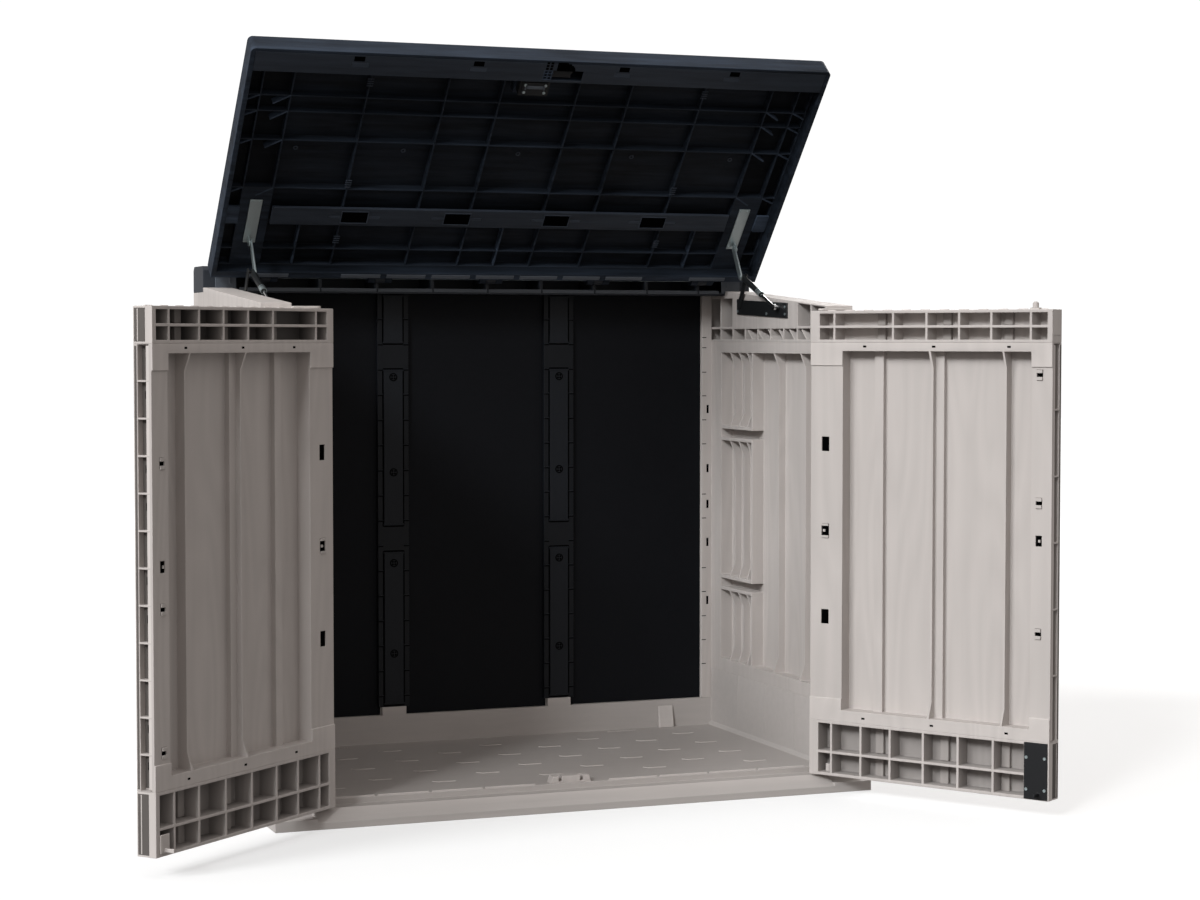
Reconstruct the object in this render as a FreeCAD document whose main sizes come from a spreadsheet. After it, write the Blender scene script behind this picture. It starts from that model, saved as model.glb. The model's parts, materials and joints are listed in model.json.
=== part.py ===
import FreeCAD, Part
import math
import os

import Sketcher
from FreeCAD import Placement, Rotation, Vector

doc = FreeCAD.newDocument("garden_storage_box")
sheet = doc.addObject("Spreadsheet::Sheet", "dims")
SIDES = (("left", -1), ("right", 1))
CUT_BATCH = 6
bodies = []


class Size:
    """A size that carries its value and the formula that ties it to the sheet."""

    rows = 0

    def __init__(self, value, text):
        self.value = value
        self.text = text

    def __add__(self, other):
        other = as_size(other)
        return Size(self.value + other.value, f"({self.text} + {other.text})")

    def __sub__(self, other):
        other = as_size(other)
        return Size(self.value - other.value, f"({self.text} - {other.text})")

    def __mul__(self, other):
        other = as_size(other)
        return Size(self.value * other.value, f"({self.text} * {other.text})")

    def __truediv__(self, other):
        other = as_size(other)
        return Size(self.value / other.value, f"({self.text} / {other.text})")

    def __neg__(self):
        return Size(-self.value, f"(0 - {self.text})")

    __rmul__ = __mul__
    __radd__ = __add__


def as_size(number):
    """Wrap a plain number so that it mixes with sizes."""
    if isinstance(number, Size):
        return number
    return Size(number, f"({number})")


def enter(name, text, value):
    """Write one row of the sheet and give it its alias."""
    Size.rows += 1
    sheet.set(f"A{Size.rows}", name)
    sheet.set(f"B{Size.rows}", text)
    sheet.setAlias(f"B{Size.rows}", name)
    return Size(value, f"dims.{name}")


def size(name, value):
    """An independent size."""
    return enter(name, str(value), value)


def derived(name, formula):
    """A size that follows from others."""
    return enter(name, "=" + formula.text.replace("dims.", ""), formula.value)


def cosine(angle):
    return Size(math.cos(math.radians(angle.value)), f"cos({angle.text})")


def sine(angle):
    return Size(math.sin(math.radians(angle.value)), f"sin({angle.text})")


def tangent(angle):
    return Size(math.tan(math.radians(angle.value)), f"tan({angle.text})")


def distance(along, up):
    return Size(math.hypot(along.value, up.value), f"hypot({along.text}; {up.text})")


def heading(along, up):
    degrees = math.degrees(math.atan2(up.value, along.value))
    return Size(degrees, f"(atan2({up.text}; {along.text}) / 1 deg)")


# Sizes of the whole box
box_width = size("box_width", 1455)
box_depth = size("box_depth", 825)
skin = size("skin", 4)
rib = size("rib", 4)
seat_fit = size("seat_fit", 0.3)
run_fit = size("run_fit", 0.05)

# Base tray
floor_top = size("floor_top", 47)
floor_cove = size("floor_cove", 9)
skirt_top = size("skirt_top", 200)
wall_width = size("wall_width", 70.5)
post_width = size("post_width", 96.5)
post_setback = size("post_setback", 49.5)
post_depth = size("post_depth", 60)
post_seat = size("post_seat", 48)
foot_height = size("foot_height", 24)
lip_height = size("lip_height", 16)
sill_top = size("sill_top", 40)
groove_floor = size("groove_floor", 36)
ridge_top = size("ridge_top", 49)
ridge_width = size("ridge_width", 10)
rear_rim_depth = size("rear_rim_depth", 27.5)
rear_rim_top = size("rear_rim_top", 119)
upright_top = size("upright_top", 140)
drain_inner = size("drain_inner", 350)
drain_length = size("drain_length", 80)
drain_width = size("drain_width", 16)

# Walls and back
band_bottom = size("band_bottom", 1070)
band_rail = size("band_rail", 8)
band_middle = size("band_middle", 1107)
board_recess = size("board_recess", 33)
shelf_slot = size("shelf_slot", 22)
shelf_foot = size("shelf_foot", 20)
fin_recess = size("fin_recess", 14)
gusset = size("gusset", 36)
groove_width = size("groove_width", 5)
groove_depth = size("groove_depth", 3)
rear_post_width = size("rear_post_width", 28)
back_setback = size("back_setback", 9.5)
back_thickness = size("back_thickness", 4.5)
back_tongue = size("back_tongue", 8)
stile_share = size("stile_share", 0.356)
stile_width = size("stile_width", 82)
stile_depth = size("stile_depth", 20)
boss_radius = size("boss_radius", 9)
boss_height = size("boss_height", 3)
header_bottom = size("header_bottom", 1192)
header_height = size("header_height", 64)
header_depth = size("header_depth", 112.5)
header_end_width = size("header_end_width", 37.5)
header_chamfer = size("header_chamfer", 10)

# Lid
lid_axis_gap = size("lid_axis_gap", 19.5)
lid_axis_rise = size("lid_axis_rise", 39.7)
lid_rest = size("lid_rest", 48.25)
lid_slope = size("lid_slope", 4.25)
lid_side_gap = size("lid_side_gap", 7.5)
lid_front_gap = size("lid_front_gap", 2.5)
lid_rear_gap = size("lid_rear_gap", 18)
lid_drop = size("lid_drop", 28)
lid_rise = size("lid_rise", 24)
lid_seat_gap = size("lid_seat_gap", 1.5)
lid_rim = size("lid_rim", 12)
lid_rib_inset = size("lid_rib_inset", 30)
lid_hinge_beam = size("lid_hinge_beam", 19)
lid_corner = size("lid_corner", 12)
lid_edge = size("lid_edge", 7)
beam_width = size("beam_width", 62)
strip_thickness = size("strip_thickness", 3)
knuckle_radius = size("knuckle_radius", 14)
knuckle_width = size("knuckle_width", 24)
knuckle_gap = size("knuckle_gap", 0.5)
knuckle_margin = size("knuckle_margin", 147.5)
rod_radius = size("rod_radius", 5)

# Doors
door_thickness = size("door_thickness", 48)
door_bottom = size("door_bottom", 44)
door_top = size("door_top", 1145)
bottom_band_top = size("bottom_band_top", 175)
bottom_band_middle = size("bottom_band_middle", 100)
hinge_inset = size("hinge_inset", 8.5)
hinge_gap = size("hinge_gap", 5.5)
meeting_gap = size("meeting_gap", 3)
left_open = size("left_open", 139.63)
right_open = size("right_open", 123.09)
pin_radius = size("pin_radius", 4)
pin_grip = size("pin_grip", 25)
pin_stub = size("pin_stub", 5)
socket_depth = size("socket_depth", 14)
lug_gap = size("lug_gap", 1)
lug_thickness = size("lug_thickness", 5)
lug_radius = size("lug_radius", 10)
door_board_recess = size("door_board_recess", 38)
bar_recess = size("bar_recess", 26)
stile_step = size("stile_step", 3)
corner_block = size("corner_block", 54)
tongue_offset = size("tongue_offset", 26.5)
tongue_width = size("tongue_width", 5)
tongue_reach = size("tongue_reach", 26)
slot_width = size("slot_width", 9)
plate_thickness = size("plate_thickness", 3)
catch_offset = size("catch_offset", 61.5)
catch_radius = size("catch_radius", 7)
catch_height = size("catch_height", 18)
catch_foot = size("catch_foot", 4)
keeper_depth = size("keeper_depth", 2)
keeper_height = size("keeper_height", 58)
screw_radius = size("screw_radius", 3.5)
screw_head = size("screw_head", 1.5)

# Lid stays
stay_pin = size("stay_pin", 4)
stay_eye = size("stay_eye", 9)
stay_arm_thickness = size("stay_arm_thickness", 3.5)
arm_ahead = size("arm_ahead", 88)
arm_below = size("arm_below", 65.7)
knee_ahead = size("knee_ahead", 131)
knee_above = size("knee_above", 6.3)
foot_ahead = size("foot_ahead", 325)
foot_below = size("foot_below", 73.7)
stay_on_lid = size("stay_on_lid", 118.5)
stay_below_lid = size("stay_below_lid", 16)
tube_radius = size("tube_radius", 7.5)
tube_start = size("tube_start", 14)
tube_length = size("tube_length", 110)
tube_end_wall = size("tube_end_wall", 14)
spring_rod_radius = size("spring_rod_radius", 3.5)
spring_rod_length = size("spring_rod_length", 125)

# Positions that follow from the sizes
zero = as_size(0)
half = derived("half_span", box_width / 2)
back = derived("back_edge", box_depth / 2)
front = derived("front_edge", -back)
wall_inner = derived("wall_inner", half - wall_width)
post_inner = derived("post_inner", half - post_width)
post_front = derived("post_front", front + post_setback)
post_back = derived("post_back", post_front + post_depth)
rear_rim_front = derived("rear_rim_front", back - rear_rim_depth)
hinge_x = derived("hinge_x", post_inner - hinge_gap - hinge_inset)
hinge_y = derived("hinge_y", post_front - lug_gap)
door_width = derived("door_width", hinge_x + hinge_inset - meeting_gap / 2)
door_outer = derived("door_outer", -hinge_inset)
door_inner = derived("door_inner", door_thickness - hinge_inset)
groove_front = derived("groove_front", hinge_y - hinge_inset - 1.5)
ridge_front = derived("ridge_front", hinge_y + door_inner + plate_thickness + 1)
ridge_back = derived("ridge_back", ridge_front + ridge_width)
rear_post_inner = derived("rear_post_inner", wall_inner - rear_post_width)
panel_back = derived("panel_back", back - back_setback)
panel_front = derived("panel_front", panel_back - back_thickness)
stile_inner = derived("stile_inner", rear_post_inner * stile_share - stile_width / 2)
stile_outer = derived("stile_outer", stile_inner + stile_width)
header_front = derived("header_front", back - header_depth)
header_top = derived("header_top", header_bottom + header_height)
knuckle_pitch = derived("knuckle_pitch", (half - knuckle_margin) / 2)
lid_axis_y = derived("lid_axis_y", header_front - lid_axis_gap)
lid_axis_z = derived("lid_axis_z", header_bottom + lid_axis_rise)
lid_half = derived("lid_half", half - lid_side_gap)
lid_front = derived("lid_front", front + lid_front_gap - lid_axis_y)
lid_rear = derived("lid_rear", -lid_rear_gap)
lid_under = derived("lid_under", -lid_drop)
rib_under = derived("rib_under", lid_under + lid_rib_inset)
lid_roof = derived("lid_roof", lid_rise - skin)
beam_rear = derived("beam_rear", lid_front + beam_width)
stay_mount = derived("stay_mount", wall_inner - skin)
lower_arm_in = derived("lower_arm_in", stay_mount - 0.5 - stay_arm_thickness)
eye_out = derived("eye_out", lower_arm_in - 6)
eye_in = derived("eye_in", eye_out - 6)
eye_middle = derived("eye_middle", (eye_out + eye_in) / 2)
link_out = derived("link_out", eye_in - 1)
link_in = derived("link_in", link_out - 4)
arm_pivot_y = derived("arm_pivot_y", lid_axis_y - arm_ahead)
arm_pivot_z = derived("arm_pivot_z", lid_axis_z - arm_below)
knee_y = derived("knee_y", lid_axis_y - knee_ahead)
knee_z = derived("knee_z", lid_axis_z + knee_above)
spring_foot_y = derived("spring_foot_y", lid_axis_y - foot_ahead)
spring_foot_z = derived("spring_foot_z", lid_axis_z - foot_below)
stay_plate_rear = derived("stay_plate_rear", arm_pivot_y + 22)
stay_plate_front = derived("stay_plate_front", spring_foot_y - 44)
lid_pivot_y = derived(
    "lid_pivot_y",
    lid_axis_y - stay_on_lid * cosine(lid_rest) - stay_below_lid * sine(lid_rest),
)
lid_pivot_z = derived(
    "lid_pivot_z",
    lid_axis_z + stay_on_lid * sine(lid_rest) - stay_below_lid * cosine(lid_rest),
)
arm_length = derived("arm_length", distance(knee_y - arm_pivot_y, knee_z - arm_pivot_z))
arm_angle = derived("arm_angle", heading(knee_y - arm_pivot_y, knee_z - arm_pivot_z))
link_length = derived("link_length", distance(knee_y - lid_pivot_y, knee_z - lid_pivot_z))
link_angle = derived("link_angle", heading(knee_y - lid_pivot_y, knee_z - lid_pivot_z))
spring_length = derived("spring_length", distance(spring_foot_y - knee_y, spring_foot_z - knee_z))
spring_angle = derived("spring_angle", heading(spring_foot_y - knee_y, spring_foot_z - knee_z))
doc.recompute()

PLANES = {"XY": ("XY_Plane", 1), "XZ": ("XZ_Plane", -1), "YZ": ("YZ_Plane", 1)}


def at(position):
    return Vector(position[0].value, position[1].value, 0)


class Drawing:
    """Collects edges and constraints, so that a sketch is solved once."""

    def __init__(self):
        self.edges = []
        self.constraints = []
        self.formulas = {}

    def edge(self, geometry):
        self.edges.append(geometry)

    def rule(self, kind, *references):
        """Add one constraint; a size given last is also bound to its formula."""
        bound = references[-1]
        if isinstance(bound, Size):
            self.formulas[len(self.constraints)] = bound.text
            references = (*references[:-1], bound.value)
        self.constraints.append(Sketcher.Constraint(kind, *references))

    def place(self, geometry, point, position):
        """Fix a point by its two distances from the origin."""
        self.rule("DistanceX", -1, 1, geometry, point, position[0])
        self.rule("DistanceY", -1, 1, geometry, point, position[1])

    def put_into(self, sketch):
        sketch.addGeometry(self.edges, False)
        sketch.addConstraint(self.constraints)
        for index, formula in self.formulas.items():
            sketch.setExpression(f"Constraints[{index}]", formula)


class Polygon:
    """Closed outline of straight edges."""

    def __init__(self, corners):
        self.corners = [(as_size(u), as_size(v)) for u, v in corners]

    def draw(self, drawing):
        first = len(drawing.edges)
        count = len(self.corners)
        for i, corner in enumerate(self.corners):
            following = self.corners[(i + 1) % count]
            drawing.edge(Part.LineSegment(at(corner), at(following)))
            drawing.rule("Coincident", first + i, 2, first + (i + 1) % count, 1)
            drawing.place(first + i, 1, corner)


class Circle:
    """Round outline."""

    def __init__(self, u, v, radius):
        self.centre = (as_size(u), as_size(v))
        self.radius = radius

    def draw(self, drawing):
        index = len(drawing.edges)
        drawing.edge(Part.Circle(at(self.centre), Vector(0, 0, 1), self.radius.value))
        drawing.place(index, 3, self.centre)
        drawing.rule("Radius", index, self.radius)


class Slot:
    """Round-ended outline between two centres on one line of the first sketch axis."""

    def __init__(self, start, end, height, radius):
        self.start = (as_size(start), as_size(height))
        self.end = (as_size(end), as_size(height))
        self.radius = radius

    def draw(self, drawing):
        first = len(drawing.edges)
        radius = self.radius.value
        drop = Vector(0, -radius, 0)
        near = Part.Circle(at(self.start), Vector(0, 0, 1), radius)
        far = Part.Circle(at(self.end), Vector(0, 0, 1), radius)
        drawing.edge(Part.ArcOfCircle(near, math.pi / 2, 3 * math.pi / 2))
        drawing.edge(Part.LineSegment(at(self.start) + drop, at(self.end) + drop))
        drawing.edge(Part.ArcOfCircle(far, -math.pi / 2, math.pi / 2))
        drawing.edge(Part.LineSegment(at(self.end) - drop, at(self.start) - drop))
        for i in range(4):
            drawing.rule("Tangent", first + i, 2, first + (i + 1) % 4, 1)
        drawing.place(first, 3, self.start)
        drawing.rule("DistanceX", -1, 1, first + 2, 3, self.end[0])
        drawing.rule("Radius", first, self.radius)


class Tab:
    """Outline with one round end about a centre and one square end."""

    def __init__(self, u, v, radius, end):
        self.centre = (as_size(u), as_size(v))
        self.radius = radius
        self.end = as_size(end)

    def draw(self, drawing):
        first = len(drawing.edges)
        radius = self.radius.value
        lift = Vector(0, radius, 0)
        if self.end.value < self.centre[0].value:
            lift = -lift
        turn = math.pi / 2 if lift.y > 0 else -math.pi / 2
        stretch = Vector(self.end.value - self.centre[0].value, 0, 0)
        middle = at(self.centre)
        round_end = Part.Circle(middle, Vector(0, 0, 1), radius)
        drawing.edge(Part.ArcOfCircle(round_end, turn, turn + math.pi))
        drawing.edge(Part.LineSegment(middle - lift, middle - lift + stretch))
        drawing.edge(Part.LineSegment(middle - lift + stretch, middle + lift + stretch))
        drawing.edge(Part.LineSegment(middle + lift + stretch, middle + lift))
        drawing.rule("Tangent", first, 2, first + 1, 1)
        drawing.rule("Coincident", first + 1, 2, first + 2, 1)
        drawing.rule("Coincident", first + 2, 2, first + 3, 1)
        drawing.rule("Tangent", first + 3, 2, first, 1)
        drawing.rule("Vertical", first + 2)
        drawing.place(first, 3, self.centre)
        drawing.rule("DistanceX", -1, 1, first + 2, 1, self.end)
        drawing.rule("Radius", first, self.radius)


def rect(u0, v0, u1, v1):
    return Polygon([(u0, v0), (u1, v0), (u1, v1), (u0, v1)])


def between(start, end, share):
    return start + (end - start) * share


def spread(start, end, count):
    """Evenly spaced stations from start to end."""
    return [between(start, end, i / count) for i in range(count + 1)]


def cells(u_stations, v_stations, wall, keep=None):
    """Rectangles between crossing ribs; keep names the ones to leave out."""
    outlines = []
    for i in range(len(u_stations) - 1):
        for j in range(len(v_stations) - 1):
            if keep and keep(i, j):
                continue
            low = (u_stations[i] + wall / 2, v_stations[j] + wall / 2)
            high = (u_stations[i + 1] - wall / 2, v_stations[j + 1] - wall / 2)
            outlines.append(rect(*low, *high))
    return outlines


def ordered(first, second):
    first, second = as_size(first), as_size(second)
    return (first, second) if first.value <= second.value else (second, first)


def new_body(name):
    body = doc.addObject("PartDesign::Body", name)
    body.Label = name
    body.AllowCompound = True
    bodies.append(body)
    return body


def sketch_on(body, plane, level, outlines):
    """Sketch on one of the body's own origin planes, lifted to a level."""
    role, sign = PLANES[plane]
    sketch = body.newObject("Sketcher::SketchObject", f"{body.Name}_outline")
    support = [feature for feature in body.Origin.OriginFeatures if feature.Role == role][0]
    sketch.AttachmentSupport = [(support, "")]
    sketch.MapMode = "FlatFace"
    offset = level * sign
    sketch.AttachmentOffset = Placement(Vector(0, 0, offset.value), Rotation())
    sketch.setExpression("AttachmentOffset.Base.z", offset.text)
    drawing = Drawing()
    for outline in outlines:
        outline.draw(drawing)
    drawing.put_into(sketch)
    return sketch


def extrude(body, kind, plane, levels, outlines, flip):
    start, end = ordered(*levels)
    sketch = sketch_on(body, plane, start, outlines)
    feature = body.newObject(f"PartDesign::{kind}", f"{body.Name}_{kind.lower()}")
    feature.Profile = sketch
    feature.Length = (end - start).value
    feature.setExpression("Length", (end - start).text)
    feature.Reversed = flip
    sketch.Visibility = False
    return feature


def pad(body, plane, levels, *outlines):
    """Raise outlines between two levels."""
    return extrude(body, "Pad", plane, levels, outlines, plane == "XZ")


def cut(body, plane, levels, *outlines):
    """Remove outlines between two levels, a few to a sketch so that each solves quickly."""
    for first in range(0, len(outlines), CUT_BATCH):
        batch = outlines[first:first + CUT_BATCH]
        extrude(body, "Pocket", plane, levels, batch, plane != "XZ")


def dress_edges(body, kind, amount, chosen):
    """Fillet or chamfer the edges of the body for which chosen(edge) holds."""
    doc.recompute()
    tip = body.Tip
    names = [f"Edge{i + 1}" for i, edge in enumerate(tip.Shape.Edges) if chosen(edge)]
    feature = body.newObject(f"PartDesign::{kind}", f"{body.Name}_{kind.lower()}")
    feature.Base = (tip, names)
    quantity = {"Fillet": "Radius", "Chamfer": "Size"}[kind]
    setattr(feature, quantity, amount.value)
    feature.setExpression(quantity, amount.text)


def repeat_along_x(body, features, pitch, count):
    """Pattern features along X."""
    axis = [feature for feature in body.Origin.OriginFeatures if feature.Role == "X_Axis"][0]
    pattern = body.newObject("PartDesign::LinearPattern", f"{body.Name}_pattern")
    pattern.Originals = features
    pattern.Direction = (axis, [""])
    pattern.Length = (pitch * (count - 1)).value
    pattern.setExpression("Length", (pitch * (count - 1)).text)
    pattern.Occurrences = count
    body.Tip = pattern


def place(body, position, axis, angle):
    """Put a body that is drawn at its pivot where it rests."""
    base = [as_size(value) for value in position]
    body.Placement = Placement(Vector(*[value.value for value in base]), Rotation(axis, angle.value))
    for letter, value in zip("xyz", base):
        body.setExpression(f"Placement.Base.{letter}", value.text)
    body.setExpression("Placement.Rotation.Angle", angle.text)


def screw_heads(body, plane, seat, outward, centres):
    """Screw heads standing on a seat, each with a driver slot."""
    crown = seat + screw_head * outward
    recess = crown - screw_head * outward * 0.6
    pad(body, plane, (seat, crown), *[Circle(u, v, screw_radius) for u, v in centres])
    reach, width = screw_radius * 0.6, screw_radius * 0.15
    slots = [rect(u - reach, v - width, u + reach, v + width) for u, v in centres]
    cut(body, plane, (recess, crown), *slots)


def lid_underside_at(y):
    """Height of the closed lid's rim above a place on the wall."""
    return lid_axis_z - lid_drop / cosine(lid_slope) + (y - lid_axis_y) * tangent(lid_slope)


def wall_top_at(y):
    return lid_underside_at(y) - lid_seat_gap


def build_base():
    base = new_body("base_tray")
    pad(base, "XY", (zero, skirt_top), rect(-half, front, half, back))
    # Storage space with a coved floor
    cut(base, "XZ", (post_back, rear_rim_front), Polygon([
        (-wall_inner, skirt_top),
        (-wall_inner, floor_top + floor_cove),
        (-wall_inner + floor_cove, floor_top),
        (wall_inner - floor_cove, floor_top),
        (wall_inner, floor_top + floor_cove),
        (wall_inner, skirt_top),
    ]))
    # Sill, door groove and stop ridge between the posts
    cut(base, "YZ", (-post_inner, post_inner), Polygon([
        (front, skirt_top),
        (front, lip_height),
        (groove_front, sill_top),
        (groove_front, groove_floor),
        (ridge_front, groove_floor),
        (ridge_front, ridge_top),
        (ridge_back, ridge_top),
        (ridge_back, floor_top),
        (post_back, floor_top),
        (post_back, skirt_top),
    ]))
    # Feet and post seats at the front corners
    for _, side in SIDES:
        cut(base, "YZ", (side * post_inner, side * half), Polygon([
            (front, skirt_top),
            (front, foot_height),
            (post_front, foot_height),
            (post_front, post_seat),
            (post_back, post_seat),
            (post_back, skirt_top),
        ]))
    # Rear rim with an upright under each stile
    near = stile_inner + back_tongue + 1
    far = stile_outer - back_tongue - 1
    cut(base, "XZ", (rear_rim_front, back), Polygon([
        (-wall_inner, rear_rim_top),
        (-far, rear_rim_top),
        (-far, upright_top),
        (-near, upright_top),
        (-near, rear_rim_top),
        (near, rear_rim_top),
        (near, upright_top),
        (far, upright_top),
        (far, rear_rim_top),
        (wall_inner, rear_rim_top),
        (wall_inner, skirt_top),
        (-wall_inner, skirt_top),
    ]))
    # Ribbed underside and hollow skirts
    columns = spread(-wall_inner, wall_inner, 6)
    rows = spread(post_back, rear_rim_front, 3)
    cut(base, "XY", (zero, floor_top - skin), *cells(columns, rows, rib))
    skirts = []
    for _, side in SIDES:
        skirts.append(rect(side * (wall_inner + skin), post_back + skin, side * (half - skin), back - skin))
    cut(base, "XY", (zero, skirt_top - skin), *skirts)
    # Joint lines on the inner skirts
    for _, side in SIDES:
        cut(base, "YZ", (side * wall_inner, side * (wall_inner + 1)), *[
            rect(y - 1, floor_top + floor_cove * 1.5, y + 1, skirt_top)
            for y in spread(post_back, rear_rim_front, 4)[1:-1]
        ])
    # Drains and the sockets of the lower door pins
    drain_back = rear_rim_front - drain_width
    drains = [
        rect(side * drain_inner, drain_back - drain_width, side * (drain_inner + drain_length), drain_back)
        for _, side in SIDES
    ]
    cut(base, "XY", (floor_top - skin, floor_top), *drains)
    sockets = [Circle(side * hinge_x, hinge_y, pin_radius + run_fit) for _, side in SIDES]
    cut(base, "XY", (groove_floor - socket_depth, groove_floor), *sockets)

    strike = new_body("sill_strike")
    strike_half = 50
    strike_top = floor_top + 17
    pad(strike, "XZ", (ridge_back, ridge_back + 30), Polygon([
        (-strike_half, floor_top),
        (strike_half, floor_top),
        (strike_half - 6, strike_top),
        (-strike_half + 6, strike_top),
    ]))
    slots = [
        rect(x - slot_width / 2, floor_top + 4, x + slot_width / 2, strike_top)
        for x in (-tongue_offset, tongue_offset)
    ]
    cut(strike, "XZ", (ridge_back, ridge_back + 20), *slots)


def build_side(name, side):
    inner = side * wall_inner
    outer = side * half
    panel = new_body(f"side_panel_{name}")
    pad(panel, "YZ", (inner, outer), rect(post_back, skirt_top, back, band_bottom))
    # Rear corner post with the groove that holds the back panel
    post_face = side * rear_post_inner
    pad(panel, "XY", (rear_rim_top, header_bottom), rect(post_face, rear_rim_front, inner, back))
    cut(panel, "XY", (rear_rim_top, header_bottom), rect(
        post_face, panel_front - seat_fit, side * (rear_post_inner + back_tongue), panel_back + seat_fit))
    # Boards between fins whose ends rise to the wall face; two shelf slots cross the close ones
    frame_front, frame_rear = post_back + 30, rear_rim_front - 52
    low, high = skirt_top + 34, band_bottom - 28
    shelves = [between(low, high, share) for share in (0.25, 0.739)]
    starts = [low] + [z + shelf_foot for z in shelves]
    stops = [z - shelf_foot for z in shelves] + [high]

    def along(share):
        return between(frame_front, frame_rear, share)

    def board_row(edges, runs):
        """Boards between neighbouring edges, and the fins that part them."""
        outlines = [
            rect(along(near) + rib * 0.75, start, along(far) - rib * 0.75, end)
            for near, far in zip(edges, edges[1:])
            for start, end in runs
        ]
        cut(panel, "YZ", (inner, side * (wall_inner + board_recess)), *outlines)
        fin_top = side * (wall_inner + fin_recess)
        tops = [
            Polygon([(inner, start), (inner, end), (fin_top, end - gusset), (fin_top, start + gusset)])
            for start, end in runs
        ]
        for share in edges[1:-1]:
            cut(panel, "XZ", (along(share) - rib * 0.75, along(share) + rib * 0.75), *tops)

    board_row((0.012, 0.186, 0.442, 0.66), [(low, high)])
    board_row((0.66, 0.71, 0.794, 0.885, 0.985), list(zip(starts, stops)))
    cut(panel, "YZ", (inner, side * (wall_inner + board_recess)), *[
        rect(along(0.655), z - shelf_slot / 2, along(0.98), z + shelf_slot / 2) for z in shelves
    ])
    cut(panel, "XY", (skirt_top, band_bottom - skin), rect(
        side * (wall_inner + board_recess + skin), post_back + skin, side * (half - skin), back - skin))
    # Clip slots in the rear post and board lines on the outside
    slot_x = (side * (rear_post_inner + 14), side * (rear_post_inner + 20))
    heights = [between(rear_rim_top, header_bottom, share) for share in (0.244, 0.389, 0.484, 0.573, 0.72)]
    cut(panel, "XZ", (rear_rim_front, rear_rim_front + 10), *[
        rect(slot_x[0], z - 11, slot_x[1], z + 11) for z in heights
    ])
    lines = [
        rect(y - groove_width / 2, skirt_top, y + groove_width / 2, band_bottom)
        for y in spread(post_back, back, 6)[1:-1]
    ]
    cut(panel, "YZ", (side * (half - groove_depth), outer), *lines)

    band = new_body(f"side_band_{name}")
    pad(band, "YZ", (inner, outer), Polygon([
        (post_back, band_bottom),
        (back, band_bottom),
        (back, header_bottom),
        (header_front, header_bottom),
        (header_front, wall_top_at(header_front)),
        (post_back, wall_top_at(post_back)),
    ]))
    # Open cells towards the inside; the upper ones leave a block behind the stay plate
    block_front, block_rear = stay_plate_front - 51, stay_plate_rear + 34
    stations = spread(post_back + band_rail, block_front, 2)
    stations += spread(block_front, block_rear, 5)[1:] + spread(block_rear, back - band_rail, 2)[1:]
    cell_depth = (inner, side * (half - skin))
    cut(band, "YZ", cell_depth, *cells(stations, [band_bottom + skin, band_middle], rib * 1.5))
    upper = []
    for i in (0, 1, 7, 8):
        near, far = stations[i] + rib * 0.75, stations[i + 1] - rib * 0.75
        low = band_middle + rib * 0.75
        roof = (wall_top_at(near) - skin, wall_top_at(far) - skin)
        if i > 2:
            roof = (header_bottom - skin * 2, header_bottom - skin * 2)
        upper.append(Polygon([(near, low), (far, low), (far, roof[1]), (near, roof[0])]))
    cut(band, "YZ", cell_depth, *upper)

    post = new_body(f"front_post_{name}")
    post_top = door_top + lug_gap
    lug_top = post_top + lug_thickness
    pad(post, "XY", (post_seat, post_top), rect(side * post_inner, post_front, outer, post_back))
    pad(post, "XY", (post_top, lug_top),
        Tab(side * hinge_x, hinge_y, lug_radius, side * (post_inner + 40)))
    cut(post, "XY", (post_seat, post_top - skin), rect(
        side * (post_inner + skin), post_front + skin, side * (half - skin), post_back - skin))
    cut(post, "XY", (post_top, lug_top), Circle(side * hinge_x, hinge_y, pin_radius + run_fit))


def build_back():
    edge_fit = back_tongue - seat_fit
    spans = {
        "back_panel_left": (-rear_post_inner - edge_fit, -stile_outer + edge_fit),
        "back_panel_centre": (-stile_inner - edge_fit, stile_inner + edge_fit),
        "back_panel_right": (stile_outer - edge_fit, rear_post_inner + edge_fit),
    }
    for name, (left, right) in spans.items():
        panel = new_body(name)
        pad(panel, "XY", (rear_rim_top, header_bottom), rect(left, panel_front, right, panel_back))
        # Shallow board lines on the outside
        lines = [
            rect(x - groove_width / 2, rear_rim_top, x + groove_width / 2, header_bottom)
            for x in spread(left, right, 4)[1:-1]
        ]
        cut(panel, "XZ", (panel_back - groove_depth / 2, panel_back), *lines)

    stile_back = panel_back + skin
    stile_front = stile_back - stile_depth
    for name, side in SIDES:
        stile = new_body(f"back_stile_{name}")
        reach = (upright_top, header_bottom)
        pad(stile, "XY", reach, rect(side * stile_inner, stile_front, side * stile_outer, stile_back))
        for edge, inward in ((stile_inner, 1), (stile_outer, -1)):
            cut(stile, "XY", reach, rect(
                side * edge, panel_front - seat_fit,
                side * (edge + back_tongue * inward), panel_back + seat_fit))
        middle = side * (stile_inner + stile_width / 2)
        heights = [upright_top + (header_bottom - upright_top) * share for share in (0.13, 0.35, 0.57, 0.80)]
        pad(stile, "XZ", (stile_front - boss_height, stile_front),
            *[Circle(middle, z, boss_radius) for z in heights])


def header_outline():
    return Polygon([
        (header_front, header_bottom),
        (back, header_bottom),
        (back, header_top - header_chamfer),
        (back - header_chamfer, header_top),
        (header_front + header_chamfer, header_top),
        (header_front, header_top - header_chamfer),
    ])


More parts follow.
